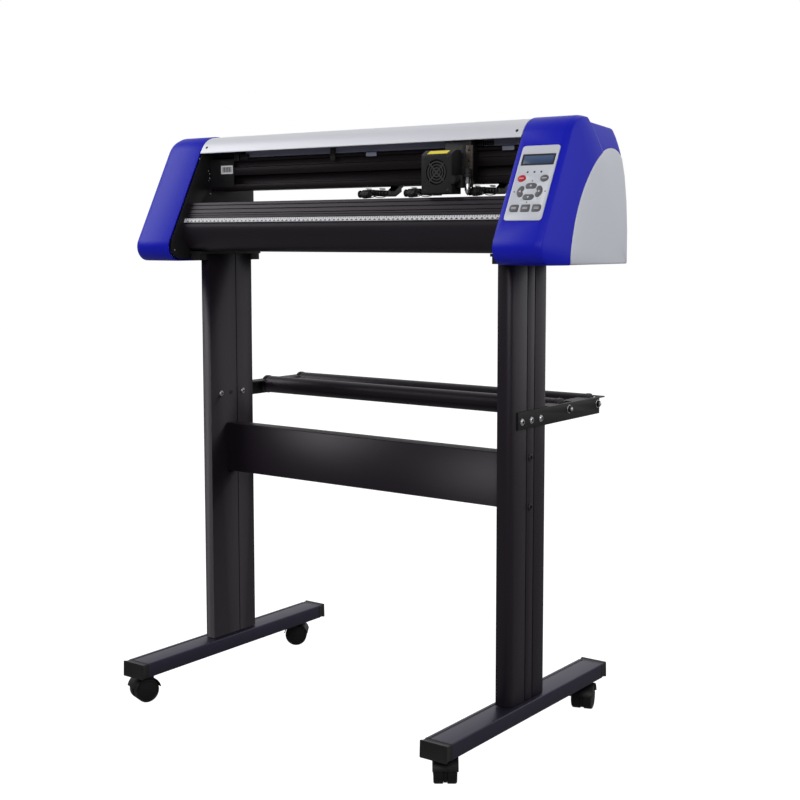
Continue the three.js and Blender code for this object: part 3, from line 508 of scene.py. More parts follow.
def footCap(bm, low, high, y, way):
    # a moulded plug whose four sides flare out to a lip at the end face
    middle = (low + high) / 2
    halfX, halfZ = (high.x - low.x) / 2, (high.z - low.z) / 2
    rings = []
    for along, inset, corner in ((0.4, 3.2, 2.5), (0, 2.2, 2.5), (0, 1.2, 2), (0.9, 0, 2), (2.4, 0, 2),
                                 (6, 1.0, 2), (11, 1.3, 2), (footShape["cap"] - 1, 0.9, 2),
                                 (footShape["cap"], 0.5, 2), (footShape["cap"], 1.9, 1.5)):
        outline = roundedRectangle(halfX - inset, halfZ - inset, corner, 4)
        ring = []
        for a, b in outline:
            drop = 0.5 - b / (2 * halfZ)
            lean = (1 - min(along / 9, 1)) * (3.2 * abs(2 * drop - 0.9) ** 1.6 - 3.2)
            ring.append(Vector((middle.x + a, y + way * max(along - lean, 0), middle.z + b)))
        rings.append(ring)
    addRings(bm, rings)


# casters

casterShape = {"rim": 22.5, "tyre": 16.8, "gap": 6.4, "hub": 14, "web": 20.8}


def buildCasters():
    for name in casterNames:
        roll = jointNamed(name + "_caster_roll")
        turn = jointNamed(name + "_caster_turn")
        centre = Vector(roll["pos_m"]) * 1000
        axle = Vector(roll["axis"])
        swivel = Vector(turn["pos_m"]) * 1000
        place = facing(centre, axle)
        bm = bmesh.new()
        rim = casterShape["rim"]
        for way in (1, -1):
            inner, outer = casterShape["gap"] / 2, casterShape["gap"] / 2 + casterShape["tyre"]
            hub = casterShape["hub"]
            face = [(inner, 0), (inner, rim - 1), (inner + 1, rim), (outer - 3.6, rim),
                    (outer - 1.8, rim - 0.9), (outer - 1.0, rim - 2.6), (outer - 1.0, rim - 3.8),
                    (outer - 2.0, rim - 4.6),
                    (outer - 1.7, hub + 2), (outer - 1.0, hub - 2), (outer - 0.4, 8), (outer, 4), (outer, 0)]
            addTurned(bm, [(along * way, r) for along, r in face], place, 64)
        addRod(bm, centre - axle * 7, centre + axle * 7, 3.5, 24)
        finishPiece(name + "_caster_wheel_set", bm, "casterNylon", name + "_caster_wheel_pair",
                    replaces=[name + "_caster_wheels"])
        fork = refined(name + "_caster_fork", "casterNylon", 0.5, 2, 40, body=name + "_caster_swivel")
        fork.data.set_sharp_from_angle(angle=math.radians(40))
        web, edge = bmesh.new(), casterShape["web"]
        addTurned(web, [(-2.7, 4.2), (-2.7, edge), (2.7, edge), (2.7, 4.2)], place, 64)
        finishPiece(name + "_caster_web", web, "casterNylon", name + "_caster_swivel")
        stem = bmesh.new()
        addTurned(stem, [(0, 0), (0, 11), (0.8, 11.6), (1.8, 11), (1.8, 0)],
                  Matrix.Translation((swivel.x, swivel.y, swivel.z - 2.2)), 32)
        finishPiece(name + "_caster_collar", stem, "brightSteel", name + "_caster_swivel")


# media rollers and brackets

def buildMediaRollers():
    for end in ("front", "rear"):
        low, high = boxOf(end + "_media_roller")
        centre = (low + high) / 2
        half = (high.x - low.x) / 2
        collar = (high.z - low.z) / 2
        tube = collar - 1
        profile = [(half - 14, 4.3), (half, 4.3), (half, 11), (half - 0.6, 11.5), (half - 0.6, collar - 1.2),
                   (half - 1.2, collar), (half - 7, collar), (half - 8, collar - 0.6),
                   (half - 8.2, tube - 1.0), (half - 9.4, tube - 1.0), (half - 9.8, tube), (0, tube)]
        bm = bmesh.new()
        outer = profile + [(-a, r) for a, r in reversed(profile[:-1])]
        addTurned(bm, outer, Matrix.Translation(centre) @ alongX, 72)
        finishPiece(end + "_media_roller_tube", bm, "anodisedAcross", end + "_roller",
                    replaces=[end + "_media_roller"])


def buildRollerBrackets():
    bracketScrews = {"y": (-32.5, -2, 28.5), "z": 563, "radius": 5.8}
    for side, sign in sideSigns:
        node = side + "_roller_bracket"
        refined(node, "blackSteel", 0.35, 2)
        low, high = boxOf(node)
        face = sign * (high.x - 4 if sign > 0 else -low.x - 4)
        ringScrews(side + "_bracket_screws",
                   [((face, y, bracketScrews["z"]), (sign, 0, 0)) for y in bracketScrews["y"]],
                   bracketScrews["radius"])
        nuts = bmesh.new()
        washers = bmesh.new()
        for end in ("front", "rear"):
            spot = jointPlace(end + "_roller_spin")
            spot.x = face
            out = Vector((sign, 0, 0))
            turn = facing(spot, out)
            addTurned(washers, [(0, 0), (0, 7.4), (0.9, 7.4), (1.2, 7.0), (1.2, 0)], turn, 36)
            addRod(nuts, spot + out * 1.1, spot + out * 4.6, 6.0, 6, round=0.4)
            addRod(washers, spot + out * 4.3, spot + out * 6.5, 3.4, 24, round=0.5)
        finishPiece(side + "_axle_nuts", nuts, "blackScrew")
        finishPiece(side + "_axle_washers", washers, "zincScrew")


# end covers

coverShape = {"wall": 2.6, "round": 3.9, "smallest": 0.25, "band": 89, "proud": 1.0, "ridgeSize": 0.987,
              "slopeFoot": (-131, 866), "slopeHead": (-44, 1038)}


def headOutline(low, high):
    bottom, top, back = low.z, high.z, high.y
    (y0, z0), (y1, z1) = coverShape["slopeFoot"], coverShape["slopeHead"]
    lean = (y1 - y0) / (z1 - z0)
    return roundedOutline([
        (back, bottom, 8), (back, top - 14.5, 16), (18, top - 7.4, 5), (10, top, 3),
        (y1 + (top - z1) * lean, top, 51), (y0 - (z0 - bottom) * lean, bottom, 27)], 12)


def swellAt(size):
    return 1 - math.exp(-coverShape["round"] * (1 - size))


def drawnIn(outline, corner, size, x):
    # the outline shrunk towards corner, at one x
    return [Vector((x, corner.x + (y - corner.x) * size, corner.y + (z - corner.y) * size))
            for y, z in outline]


def cheekRings(outline, ridge, swell, corner, inset):
    # the outline drawn towards the lower rear corner while it swells outwards
    full = swellAt(coverShape["smallest"])
    sizes = (0.985, 0.975, 0.96, 0.94, 0.92, 0.895, 0.87, 0.84, 0.81, 0.775, 0.74, 0.7, 0.66, 0.61, 0.56, 0.5,
             0.44, 0.38, 0.31, 0.25)
    rings = []
    for size in sizes:
        out = ridge + swell * swellAt(size) / full - inset
        size *= coverShape["ridgeSize"]
        rings.append(drawnIn(outline, corner, size, out))
    return rings


def cheekReach(y, z, outline, ridge, swell, corner):
    # how far out the cheek lies at a point of the side view
    way = Vector((y, z)) - corner
    full = swellAt(coverShape["smallest"])
    far = 0
    for i, b in enumerate(outline):
        a, b = Vector(outline[i - 1]), Vector(b)
        edge = b - a
        cross = way.x * edge.y - way.y * edge.x
        if abs(cross) < 1e-9:
            continue
        t = ((a.x - corner.x) * edge.y - (a.y - corner.y) * edge.x) / cross
        s = ((a.x - corner.x) * way.y - (a.y - corner.y) * way.x) / cross
        if t > 0 and -1e-6 <= s <= 1 + 1e-6:
            far = max(far, t)
    size = max(1 / far / coverShape["ridgeSize"] if far else 1, coverShape["smallest"])
    return ridge + swell * swellAt(min(size, 1)) / full


def coverMeasures():
    low, high = boxOf("right_end_cover")
    inner = low.x
    ridge = inner + coverShape["band"]
    panelOut = boxOf("right_side_panel")[1].x
    return low, high, inner, ridge, panelOut - coverShape["proud"] - ridge, Vector((high.y, low.z))


def sidePanelOutline(inset=0, beyond=0):
    # arched front edge; it runs out to the cover's back and underside
    low, high = boxOf("right_end_cover")
    back, bottom = high.y - 0.3 + beyond, low.z + 0.3 - beyond
    arch = curveThrough([(back, 1001), (88, 1013.5), (66, 1016), (38, 1009), (8, 990.5), (-17, 963),
                         (-38, 931), (-56, 893), (-69, 853), (-71, 838)], 5)
    foot = [(-70, 833), (-68, bottom + 2), (-65, bottom), (-20, bottom), (20, bottom), (60, bottom),
            (back - 2, bottom), (back, bottom + 2), (back, 880), (back, 930), (back, 970)]
    points = [tuple(p) for p in arch] + foot
    return insetOutline(points, inset) if inset else points


def mirrorAll(bm):
    bmesh.ops.scale(bm, vec=(-1, 1, 1), verts=bm.verts)


def buildEndCovers():
    low, high, inner, ridge, swell, corner = coverMeasures()
    outline = headOutline(low, high)
    wall = coverShape["wall"]
    for side, sign in sideSigns:
        bm = bmesh.new()
        inside = insetOutline(outline, wall)
        insideCorner = corner + Vector((-wall, wall))
        rings = list(reversed(cheekRings(inside, ridge, swell, insideCorner, wall)))
        rings += [[Vector((x, y, z)) for y, z in inside] for x in (ridge - wall - 11, inner + 1)]
        rings += [[Vector((inner, y, z)) for y, z in insetOutline(outline, wall - 0.6)]]
        for along, inset in ((0, 0.9), (0.3, 0.3), (1.0, 0)):
            rings.append([Vector((inner + along, y, z)) for y, z in insetOutline(outline, inset)])
        for back, size in ((12, 1), (10, 0.9992), (1.6, 0.9895), (0.7, 0.9882), (0.1, 0.9862), (-0.4, 0.983)):
            rings.append(drawnIn(outline, corner, size, ridge - back))
        rings += cheekRings(outline, ridge, swell, corner, 0)
        addRings(bm, rings)
        crisp = [e for e in bm.edges if len(e.link_faces) == 2 and e.calc_face_angle(0) > math.radians(50)
                 and all(v.co.x > ridge - 3 for v in e.verts) and len(e.link_faces[0].verts) == 4
                 and len(e.link_faces[1].verts) == 4]
        if crisp:
            roundEdges(bm, crisp, 1.6, 3)
        if sign < 0:
            mirrorAll(bm)
        cover = finishPiece(side + "_cover_shell", bm, "bluePlastic", replaces=[side + "_end_cover"])
        cutters = []
        window = bmesh.new()
        addPrism(window, sidePanelOutline(0, 8), "X", ridge + 4, ridge + 60)
        if sign < 0:
            mirrorAll(window)
        cutters.append(window)
        if side == "right":
            cutters += [panelCutter(), rearCutter()]
        carve(cover, cutters)
    print("end covers ready")


def rearCutter():
    low, high = boxOf("power_inlet")
    bm = bmesh.new()
    addBlock(bm, (low.x + 3.6, high.y - 30, low.z + 3.6), (high.x - 3.6, high.y + 5, high.z - 3.6))
    return bm


def buildSidePanels():
    low, high, inner, ridge, swell, corner = coverMeasures()
    outline = headOutline(low, high)
    proud = coverShape["proud"]
    border = sidePanelOutline(0.4)
    centre = Vector((45, 905))
    rim = ((0, -2.4), (0, -1.6), (0.15, -1.0), (0.6, -0.45), (1.3, -0.15), (2.3, 0), (4, 0))
    for side, sign in sideSigns:
        bm = bmesh.new()
        front = []
        for inset, drop in rim:
            front.append([(y, z, drop) for y, z in insetOutline(border, inset)])
        last = front[-1]
        for size in (0.93, 0.85, 0.76, 0.66, 0.55, 0.44, 0.33, 0.22, 0.11):
            front.append([(centre.x + (y - centre.x) * size, centre.y + (z - centre.y) * size, 0)
                          for y, z, drop in last])
        reach = lambda y, z: cheekReach(y, z, outline, ridge, swell, corner) + proud
        shell = [[Vector((reach(y, z) + drop, y, z)) for y, z, drop in ring] for ring in front]
        inside = [[Vector((ridge + 4.2, v.y, v.z)) for v in ring] for ring in reversed(shell[1:])]
        addRings(bm, inside + shell)
        if sign < 0:
            mirrorAll(bm)
        finishPiece(side + "_cover_panel", bm, "greyPlastic", replaces=[side + "_side_panel"], sharp=50)
    print("side panels ready")


# control panel

def slopeFrame():
    # the control panel's own axes: across, up the slope, out of it
    press = jointNamed("red_button_press")
    out = -Vector(press["axis"]).normalized()
    across = Vector((1, 0, 0))
    up = out.cross(across)
    centre = middleOf("keypad_panel")
    return Matrix(((across.x, up.x, out.x, centre.x), (across.y, up.y, out.y, centre.y),
                   (across.z, up.z, out.z, centre.z), (0, 0, 0, 1)))


panelShape = {"halfWide": 34.5, "halfTall": 67.25, "corner": 5, "face": 1.5}


def panelCutter():
    bm = bmesh.new()
    w, t, r = panelShape["halfWide"] + 0.5, panelShape["halfTall"] + 0.5, panelShape["corner"] + 0.4
    addPrism(bm, roundedRectangle(w, t, r, 6), "Z", -12, 12)
    bmesh.ops.transform(bm, matrix=slopeFrame(), verts=bm.verts)
    return bm


def addFlat(bm, outline, low, high, place):
    before = set(bm.verts)
    addPrism(bm, outline, "Z", low, high)
    bmesh.ops.transform(bm, matrix=place, verts=[v for v in bm.verts if v not in before])


def rectangle(x0, y0, x1, y1):
    return [(x0, y0), (x1, y0), (x1, y1), (x0, y1)]


def triangle(cx, cy, size, heading):
    turns = [heading + k * math.tau / 3 for k in range(3)]
    return [(cx + size * math.cos(turn), cy + size * math.sin(turn)) for turn in turns]


def buildControlPanel():
    place = slopeFrame()
    refined("keypad_panel", "keypadFilm", 0.35, 2)
    refined("display_window", "screenGlass", 0.2, 2)
    local = place.inverted()
    display = local @ middleOf("display_window")
    face = panelShape["face"]
    frameShape = {"halfWide": 30.2, "halfTall": 10, "border": 2.6, "lift": 0.25}
    bm = bmesh.new()
    w, t, b = frameShape["halfWide"], frameShape["halfTall"], frameShape["border"]
    for x0, x1, y0, y1 in ((-w, w, t - b, t), (-w, w, -t, -t + b), (-w, -w + b, -t + b, t - b),
                           (w - b, w, -t + b, t - b)):
        addFlat(bm, rectangle(x0 + display.x, y0 + display.y, x1 + display.x, y1 + display.y),
                face - 0.4, face - 0.4 + frameShape["lift"], place)
    finishPiece("display_mask", bm, "cableBlack")
    lamps = bmesh.new()
    for x in (-13.4, -0.8, 11.8):
        addTurned(lamps, [(0, 0), (0, 1.8), (0.2, 1.7), (0.4, 1.1), (0.5, 0)],
                  place @ Matrix.Translation((x, 19, face)), 20)
    finishPiece("panel_lamps", lamps, "lampOff")
    prints = bmesh.new()
    ring = local @ (middleOf("up_button") / 2 + middleOf("down_button") / 2)
    for heading, reach in ((math.pi / 2, 19.2), (-math.pi / 2, 19.2), (0, 28.2), (math.pi, 28.2)):
        x, y = ring.x + reach * math.cos(heading), ring.y + reach * math.sin(heading)
        addFlat(prints, triangle(x, y, 1.9, heading), face, face + 0.06, place)
    finishPiece("panel_marks", prints, "panelPrint")
    buildButtons(place, local)


def buildButtons(place, local):
    marks = {"up_button": math.pi / 2, "left_button": math.pi, "right_button": 0, "down_button": -math.pi / 2}
    for name in ("red_button", "menu_button", "up_button", "left_button", "right_button", "down_button",
                 "first_key", "second_key", "third_key"):
        red = name == "red_button"
        refined(name, "redKey" if red else "greyKey", 0.55, 3, body=name)
        centre = local @ middleOf(name)
        top = centre.z + 1.85
        bm = bmesh.new()
        if name in marks:
            addFlat(bm, triangle(centre.x, centre.y, 2.4, marks[name]), top, top + 0.08, place)
        elif name.endswith("_key"):
            for row in (-1.1, 1.1):
                addFlat(bm, rectangle(centre.x - 4.4, centre.y + row - 0.45, centre.x + 4.4,
                                      centre.y + row + 0.45), top, top + 0.08, place)
        else:
            addFlat(bm, rectangle(centre.x - 4, centre.y - 0.6, centre.x + 4, centre.y + 0.6),
                    top, top + 0.08, place)
        finishPiece(name + "_mark", bm, "keyPrint", name)


# head: plates, top cover, beam, platen

def buildSidePlates():
    for side in ("left", "right"):
        refined(side + "_side_plate", "blackSteel", 0.3, 2)
    low, high = boxOf("left_side_plate")
    face = high.x
    spots = [(-50.5, 1021), (-120, 846), (-26, 999), (-23, 993), (-26, 980), (-23, 984), (-22, 955)]
    for side, sign in (("left", 1), ("right", -1)):
        screwGroup(side + "_plate_screws", [((sign * face, y, z), (sign, 0, 0)) for y, z in spots],
                   "zincScrew", 1.7, 0.9)
    addBeamBracket(face)


def addBeamBracket(face):
    # end plate over the beam's left end, with the blank bar label
    plate = bmesh.new()
    addBlock(plate, (face + 0.3, -20.8, 966), (face + 62, -20.1, 1020), 0.2)
    finishPiece("beam_end_plate", plate, "blackSteel")
    label = bmesh.new()
    low, high = (face + 28, 992), (face + 59, 1008)
    addBlock(label, (low[0], -21.0, low[1]), (high[0], -20.8, high[1]))
    finishPiece("left_plate_label", label, "paleLabel")
    bars = bmesh.new()
    for k in range(11):
        start = low[0] + 4 + k * 2.2
        end = low[0] + 5 + k * 2.2 + 0.4 * (k % 3)
        addBlock(bars, (start, -21.1, low[1] + 3), (end, -21.0, high[1] - 3))
    finishPiece("left_plate_label_bars", bars, "scaleInk")


topCoverShape = {"sheet": 1.6}


def buildTopCover():
    low, high = boxOf("top_cover")
    path = curveThrough([(-43.4, 1038), (-37.5, 1047), (-29.5, 1055), (-18, 1061.2), (-5, 1064),
                         (8, 1064.2)], 6)
    back = roundedOutline([(8, 1064.1, 0), (91.5, 1050.2, 14), (103, 1030, 10), (103, low.z, 0)], 6)
    outer = [(-46.6, low.z + 31.6), (-45.5, 1034)] + [tuple(p) for p in path] + list(back[1:])
    inner, sheet = [], topCoverShape["sheet"]
    for i, point in enumerate(outer):
        along = (Vector(outer[min(i + 1, len(outer) - 1)]) - Vector(outer[max(i - 1, 0)])).normalized()
        inner.append((point[0] + along.y * sheet, point[1] - along.x * sheet))
    bm = bmesh.new()
    addPrism(bm, outer + inner[::-1], "X", low.x + 0.4, high.x - 0.4)
    finishPiece("top_cover_sheet", bm, "silverPaint", replaces=["top_cover"], sharp=40)
    lip = bmesh.new()
    addPrism(lip, roundedOutline([(-47, 1031.6, 0.8), (-44.6, 1031.4, 0.8), (-42.4, 1035.6, 0.4),
                                  (-44.8, 1036.6, 0.4)], 4), "X", low.x + 0.4, high.x - 0.4)
    finishPiece("top_cover_hem", lip, "silverPaint")
    out = Vector((0, -0.87, 0.48))
    screwGroup("top_cover_screws", [((x, -40.5, 1042.6), out) for x in (low.x + 12, high.x - 12)],
               "blackScrew", 2.6, 1.1)


def buildBeam():
    # the beam takes the darker anodised copy: painted shade
    refined("guide_beam", "anodisedBeam", 0.4, 2)
    low, high = boxOf("guide_beam")
    tray = bmesh.new()
    addPrism(tray, [(-17, 1022), (27, 1022), (27, 1023.2), (-15.8, 1023.2), (-15.8, 1033), (-17, 1033)],
             "X", low.x + 90, high.x - 4)
    finishPiece("cable_tray", tray, "ribbonGrey")
    fittings = bmesh.new()
    addBlock(fittings, (-298, -22.4, 1016), (-284, -17.2, 1031), 0.6)
    addBlock(fittings, (-282, -21.6, 1018), (-262, -17.2, 1028), 0.4)
    addBlock(fittings, (255, -22.2, 1021.6), (273, -17.2, 1031), 0.6)
    addBlock(fittings, (276, -21.6, 1023), (292, -17.2, 1030), 0.4)
    for lift, y in ((1031.6, -21.8), (1024, -22.2), (1016.5, -21.4)):
        addBlock(fittings, (-58, y, lift - 7.7), (-47, y + 1.2, lift), 0.3)
    finishPiece("harness_fittings", fittings, "cableBlack")
    tabs = bmesh.new()
    for x in (24, 311):
        addBlock(tabs, (x, -21.6, 1013.4), (x + 23, -20.1, 1020.6), 0.3)
    finishPiece("ribbon_clips", tabs, "ribbonGrey")


def buildPlaten():
    low, high = boxOf("platen")
    ribs = []
    rows = [(-78.6, 935.4), (-81.2, 929.6), (-84.6, 922.2), (-88.2, 914.6)]
    for (y0, z0), (y1, z1) in zip(rows, rows[1:]):
        ribs += [(y0, z0), (y0 - 0.4, z0 - 1.2), (y1 + 0.5, z1 + 1.6), (y1 + 1.6, z1 + 1.2)]
    apron = curveThrough([(-100, 895), (-101.3, 888), (-101, 879), (-98.6, 868.5), (-94, 859), (-87.5, 851),
                          (-80, 846), (-74, 844)], 6)
    outline = [(90, low.z), (high.y, 850), (high.y, high.z), (-40.5, high.z), (-40.5, 922), (-55.5, 922),
                (-55.5, high.z), (-77.4, high.z)]
    outline += ribs + [(-88.2, 914.6), (-89.2, 912.2), (-88.4, 911.4), (-89.8, 907.4), (-92, 906.3),
                       (-95.6, 896.9), (-97.5, 895.6)]
    outline += [tuple(p) for p in apron] + [(-73.4, 842.9 + 0.4), (-70, low.z)]
    bm = bmesh.new()
    addPrism(bm, outline, "X", low.x, high.x)
    finishPiece("platen_extrusion", bm, "anodisedAcross", replaces=["platen"], sharp=28)


rulerShape = {"step": 5, "tall": 2.0, "taller": 3.2, "wide": 1.1}


def buildRuler():
    refined("ruler_strip", "scaleWhite", 0.12, 1)
    low, high = boxOf("ruler_strip")
    down = Vector((0, -3.6, -9.4)).normalized()
    out = Vector((0, -0.934, 0.358))
    top = Vector((0, -92.38, 905.3)) + out * 1.22
    place = Matrix(((1, 0, 0, 0), (0, down.y, out.y, top.y), (0, down.z, out.z, top.z), (0, 0, 0, 1)))
    bm = bmesh.new()
    count = int((high.x - low.x - 10) / rulerShape["step"])
    for k in range(count + 1):
        x = low.x + 5 + k * rulerShape["step"]
        tall = rulerShape["taller"] if k % 4 == 0 else rulerShape["tall"]
        half = rulerShape["wide"] / 2
        addFlat(bm, rectangle(x - half, 0.4, x + half, 0.4 + tall), 0, 0.06, place)
    for k in range(0, count - 1, 2):
        x = low.x + 5 + (k + 1) * rulerShape["step"]
        addFlat(bm, [(x - 3.4, 7.0), (x + 3.4, 7.0), (x, 3.9)], 0, 0.06, place)
    finishPiece("ruler_marks", bm, "scaleInk")


# drive and inside pieces

gritShape = {"half": 357, "radius": 6.6, "journal": 5}


def buildDrive():
    end, r, thin = gritShape["half"], gritShape["radius"], gritShape["journal"]
    low, high = boxOf("grit_shaft")
    centre = (low + high) / 2
    half = (high.x - low.x) / 2
    bm = bmesh.new()
    profile = [(-half, 0), (-half, thin - 0.4), (-half + 0.4, thin), (-end, thin), (-end, r - 0.3),
               (0.6 - end, r), (end - 0.6, r), (end, r - 0.3), (end, thin), (half - 0.4, thin),
               (half, thin - 0.4), (half, 0)]
    addTurned(bm, profile, Matrix.Translation(centre) @ alongX, 40)
    finishPiece("grit_roller", bm, "brightSteel", "feed_shaft", replaces=["grit_shaft"])
    refined("drive_belt", "rubber", 0.2, 1)
    for name in ("drive_pulley", "idler_pulley"):
        refined(name, "brightSteel", 0.25, 2, body=name)
    refined("carriage_motor", "blackSteel", 0.8, 2)
    refined("feed_motor", "blackSteel", 0.8, 2)
    refined("control_board", "boardGreen", 0.15, 1)


def buildRearModule():
    refined("power_inlet", "blackPlastic", 0.4, 2)
    low, high = boxOf("power_inlet")
    pins = bmesh.new()
    floor = low.y + 3
    for x, z in ((397.5, 860), (402, 866.5), (406.5, 860)):
        addBlock(pins, (x - 0.9, floor - 0.5, z - 2.2), (x + 0.9, floor + 11, z + 2.2), 0.3)
    finishPiece("inlet_pins", pins, "brightSteel")
    refined("power_switch", "blackPlastic", 0.4, 2, body="power_rocker")


# pinch units

def buildPinchUnits():
    for side in ("left", "middle", "right"):
        refined(side + "_pinch_arm", "blackPlastic", 0.5, 2, 40, body=side + "_pinch_lever")
        low, high = boxOf(side + "_pinch_wheel")
        centre = (low + high) / 2
        bm = bmesh.new()
        r = 7
        addTurned(bm, [(-8.5, 0), (-8.5, 2), (-4.6, 2.1), (-4.6, r - 0.9), (-4, r - 0.2), (-3, r), (3, r),
                       (4, r - 0.2), (4.6, r - 0.9), (4.6, 2.1), (8.5, 2), (8.5, 0)],
                  Matrix.Translation(centre) @ alongX, 40)
        finishPiece(side + "_pinch_tyre", bm, "rubber", side + "_pinch_roller",
                    replaces=[side + "_pinch_wheel"])
        body = bmesh.new()
        for sign in (-1, 1):
            x = centre.x + sign * 9
            addRod(body, (x, -49, 945.5), (x + sign * 2.6, -49, 945.5), 6.6, 20, round=0.6)
            addBlock(body, (min(x, x + sign * 6), -34, 944), (max(x, x + sign * 6), 6, 953), 0.8)
            for k in range(4):
                y = -29 + k * 9
                addRod(body, (x + sign * 5.8, y, 948.5), (x + sign * 7.6, y, 948.5), 3.4, 16, round=0.4)
        addRod(body, (centre.x - 13, -38, 949), (centre.x + 13, -38, 949), 4.4, 20, round=0.5)
        finishPiece(side + "_pinch_body", body, "blackPlastic", side + "_pinch_lever")
        springs = bmesh.new()
        for sign in (-1, 1):
            x = centre.x + sign * 13
            bow = [(x, -46, 944), (x, -34, 940.5), (x, -20, 940), (x, -4, 942.5), (x, 6, 948)]
            wire(springs, curveThrough(bow, 4), 0.8, 8)
            wire(springs, coil((x + sign * 2.2, -26, 955), (x + sign * 2.2, -10, 955), 1.5, 8), 0.32, 6)
        finishPiece(side + "_pinch_springs", springs, "brightSteel", side + "_pinch_lever", sharp=60)


# carriage

ventShape = {"radius": 21, "rise": 977, "depth": 5, "spoke": 2.6,
             "rings": ((0.5, 3.4), (6.2, 8.4), (11.4, 13.4), (16.2, 18.4))}


def buildCarriage():
    low, high = boxOf("carriage_cover")
    side = roundedOutline([(high.y, low.z, 0.5), (high.y, high.z, 1.5), (-77, high.z, 3),
                           (low.y, 1006.5, 3.5), (low.y, low.z, 3)], 5)
    bm = bmesh.new()
    addPrism(bm, side, "X", low.x, high.x)
    rims = [e for e in bm.edges if len(e.link_faces) == 2
            and any(len(f.verts) > 4 for f in e.link_faces) and all(v.co.y < high.y - 0.7 for v in e.verts)]
    roundEdges(bm, rims, 1.1, 4)
    cover = finishPiece("carriage_front_cover", bm, "blackPlastic", "carriage", replaces=["carriage_cover"])
    centre = Vector(((low.x + high.x) / 2, low.y, ventShape["rise"]))
    hole = bmesh.new()
    addRod(hole, centre + Vector((0, -3, 0)), centre + Vector((0, ventShape["depth"], 0)),
           ventShape["radius"], 64)
    carve(cover, [hole])
    # a black disc near the floor of the vent recess: painted shade
    disc = bmesh.new()
    addRod(disc, centre + Vector((0, 4.2, 0)), centre + Vector((0, 4.8, 0)), ventShape["radius"] - 0.4, 64)
    finishPiece("carriage_vent_shade_disc", disc, "cableBlack", "carriage")
    grille = bmesh.new()
    for inner, outer in ventShape["rings"]:
        addTurned(grille, [(0, inner), (0, outer), (1.4, outer), (1.4, inner)],
                  Matrix.Translation(centre + Vector((0, 0.1, 0))) @ alongY, 56)
    for k in range(4):
        turn = Matrix.Rotation(math.radians(45 + 90 * k), 4, "Y") @ Matrix.Translation((0, 0, 11.5))
        half = ventShape["spoke"] / 2
        addBlock(grille, (centre.x - half, centre.y + 0.2, centre.z - 9),
                 (centre.x + half, centre.y + 1.6, centre.z + 9), turn=turn)
    finishPiece("carriage_vent", grille, "ventPlastic", "carriage")
    holes = [(low.x + 7, 1001), (high.x - 7, 1001), (low.x + 7, 946.5), (high.x - 7, 946.5)]
    screwGroup("carriage_cover_screws", [((x, low.y + 0.2, z), (0, -1, 0)) for x, z in holes], "blackScrew",
               2.3, 0.6, body="carriage")
    label = bmesh.new()
    lean = math.atan2(high.z - 1006.5, -77 - low.y)
    addBlock(label, (centre.x - 20, -89.2, 1009.9), (centre.x + 20, -78.2, 1010.2),
             turn=Matrix.Rotation(lean, 4, "X"))
    finishPiece("carriage_label", label, "yellowLabel", "carriage")
    refined("carriage_body", "blackSteel", body="carriage")
    buildTool()


toolShape = {"strapLeft": 265.5, "strapRight": 278.5, "strapFront": -62, "strapBack": -58.5,
             "slider": (263, 269.5)}


def buildTool():
    low, high = boxOf("tool_lift")
    strap = bmesh.new()
    addBlock(strap, (toolShape["strapLeft"], toolShape["strapFront"], low.z + 1),
             (toolShape["strapRight"], toolShape["strapBack"], high.z), 0.5)
    finishPiece("lift_strap", strap, "wornSteel", "tool", replaces=["tool_lift"])
    clamp = bmesh.new()
    sliderLeft, sliderRight = toolShape["slider"]
    addBlock(clamp, (sliderLeft, -59, 978), (sliderRight, high.y, 1016), 0.5)
    addBlock(clamp, (low.x, low.y, low.z), (low.x + 12, -60.5, 972), 1.0)
    addTurned(clamp, [(968, 5.2), (968, 7.2), (968.6, 7.6), (973.0, 7.6), (973.6, 7.2), (973.6, 5.2)],
              Matrix.Translation((middleOf("blade_holder").x, middleOf("blade_holder").y, 0)), 36)
    finishPiece("tool_clamp", clamp, "blackPlastic", "tool", replaces=["tool_lift"])
    strapX = middleOf("blade_holder").x - 2.5
    screwGroup("tool_lift_screws",
               [((strapX, toolShape["strapFront"], z), (0, -1, 0)) for z in (1014, 996, 984, 960)],
               "blackScrew", 2.4, 1.0, body="tool")
    low, high = boxOf("blade_holder")
    centre = (low + high) / 2
    bm = bmesh.new()
    addTurned(bm, [(low.z, 0), (low.z, 0.6), (low.z + 1.2, 1.2), (low.z + 4, 3.5), (946, 4.4), (946.4, 5),
                   (957, 5), (957.5, 4.7), (958, 5), (974, 5), (974, 0)],
              Matrix.Translation((centre.x, centre.y, 0)), 40)
    finishPiece("blade_holder_barrel", bm, "brightSteel", "tool", replaces=["blade_holder"])
    cap = bmesh.new()
    addTurned(cap, [(974.1, 0), (974.1, 6.2), (974.6, 6.6), (981, 6.6), (981.6, 6), (982.4, 4.2), (high.z, 4),
                    (high.z, 0)], Matrix.Translation((centre.x, centre.y, 0)), 40)
    finishPiece("blade_holder_cap", cap, "blackPlastic", "tool", replaces=["blade_holder"])
    low, high = boxOf("clamp_knob")
    centre = (low + high) / 2
    knob = bmesh.new()
    outline = []
    for k in range(72):
        r = 6.95 if k % 4 < 2 else 6.5
        turn = math.tau * k / 72
        outline.append((centre.x + r * math.cos(turn), centre.z + r * math.sin(turn)))
    addPrism(knob, outline, "Y", low.y + 0.5, low.y + 7.4)
    addRod(knob, (centre.x, low.y, centre.z), (centre.x, low.y + 0.8, centre.z), 5.2, 36)
    addRod(knob, (centre.x, low.y + 7, centre.z), (centre.x, high.y, centre.z), 3.9, 24)
    finishPiece("clamp_knob_grip", knob, "blackPlastic", "knob", replaces=["clamp_knob"])


# stage, light and camera

studio = {"ahead": 0.06, "behind": 1.0, "paperGlow": 1.0, "paperLight": 0.05}


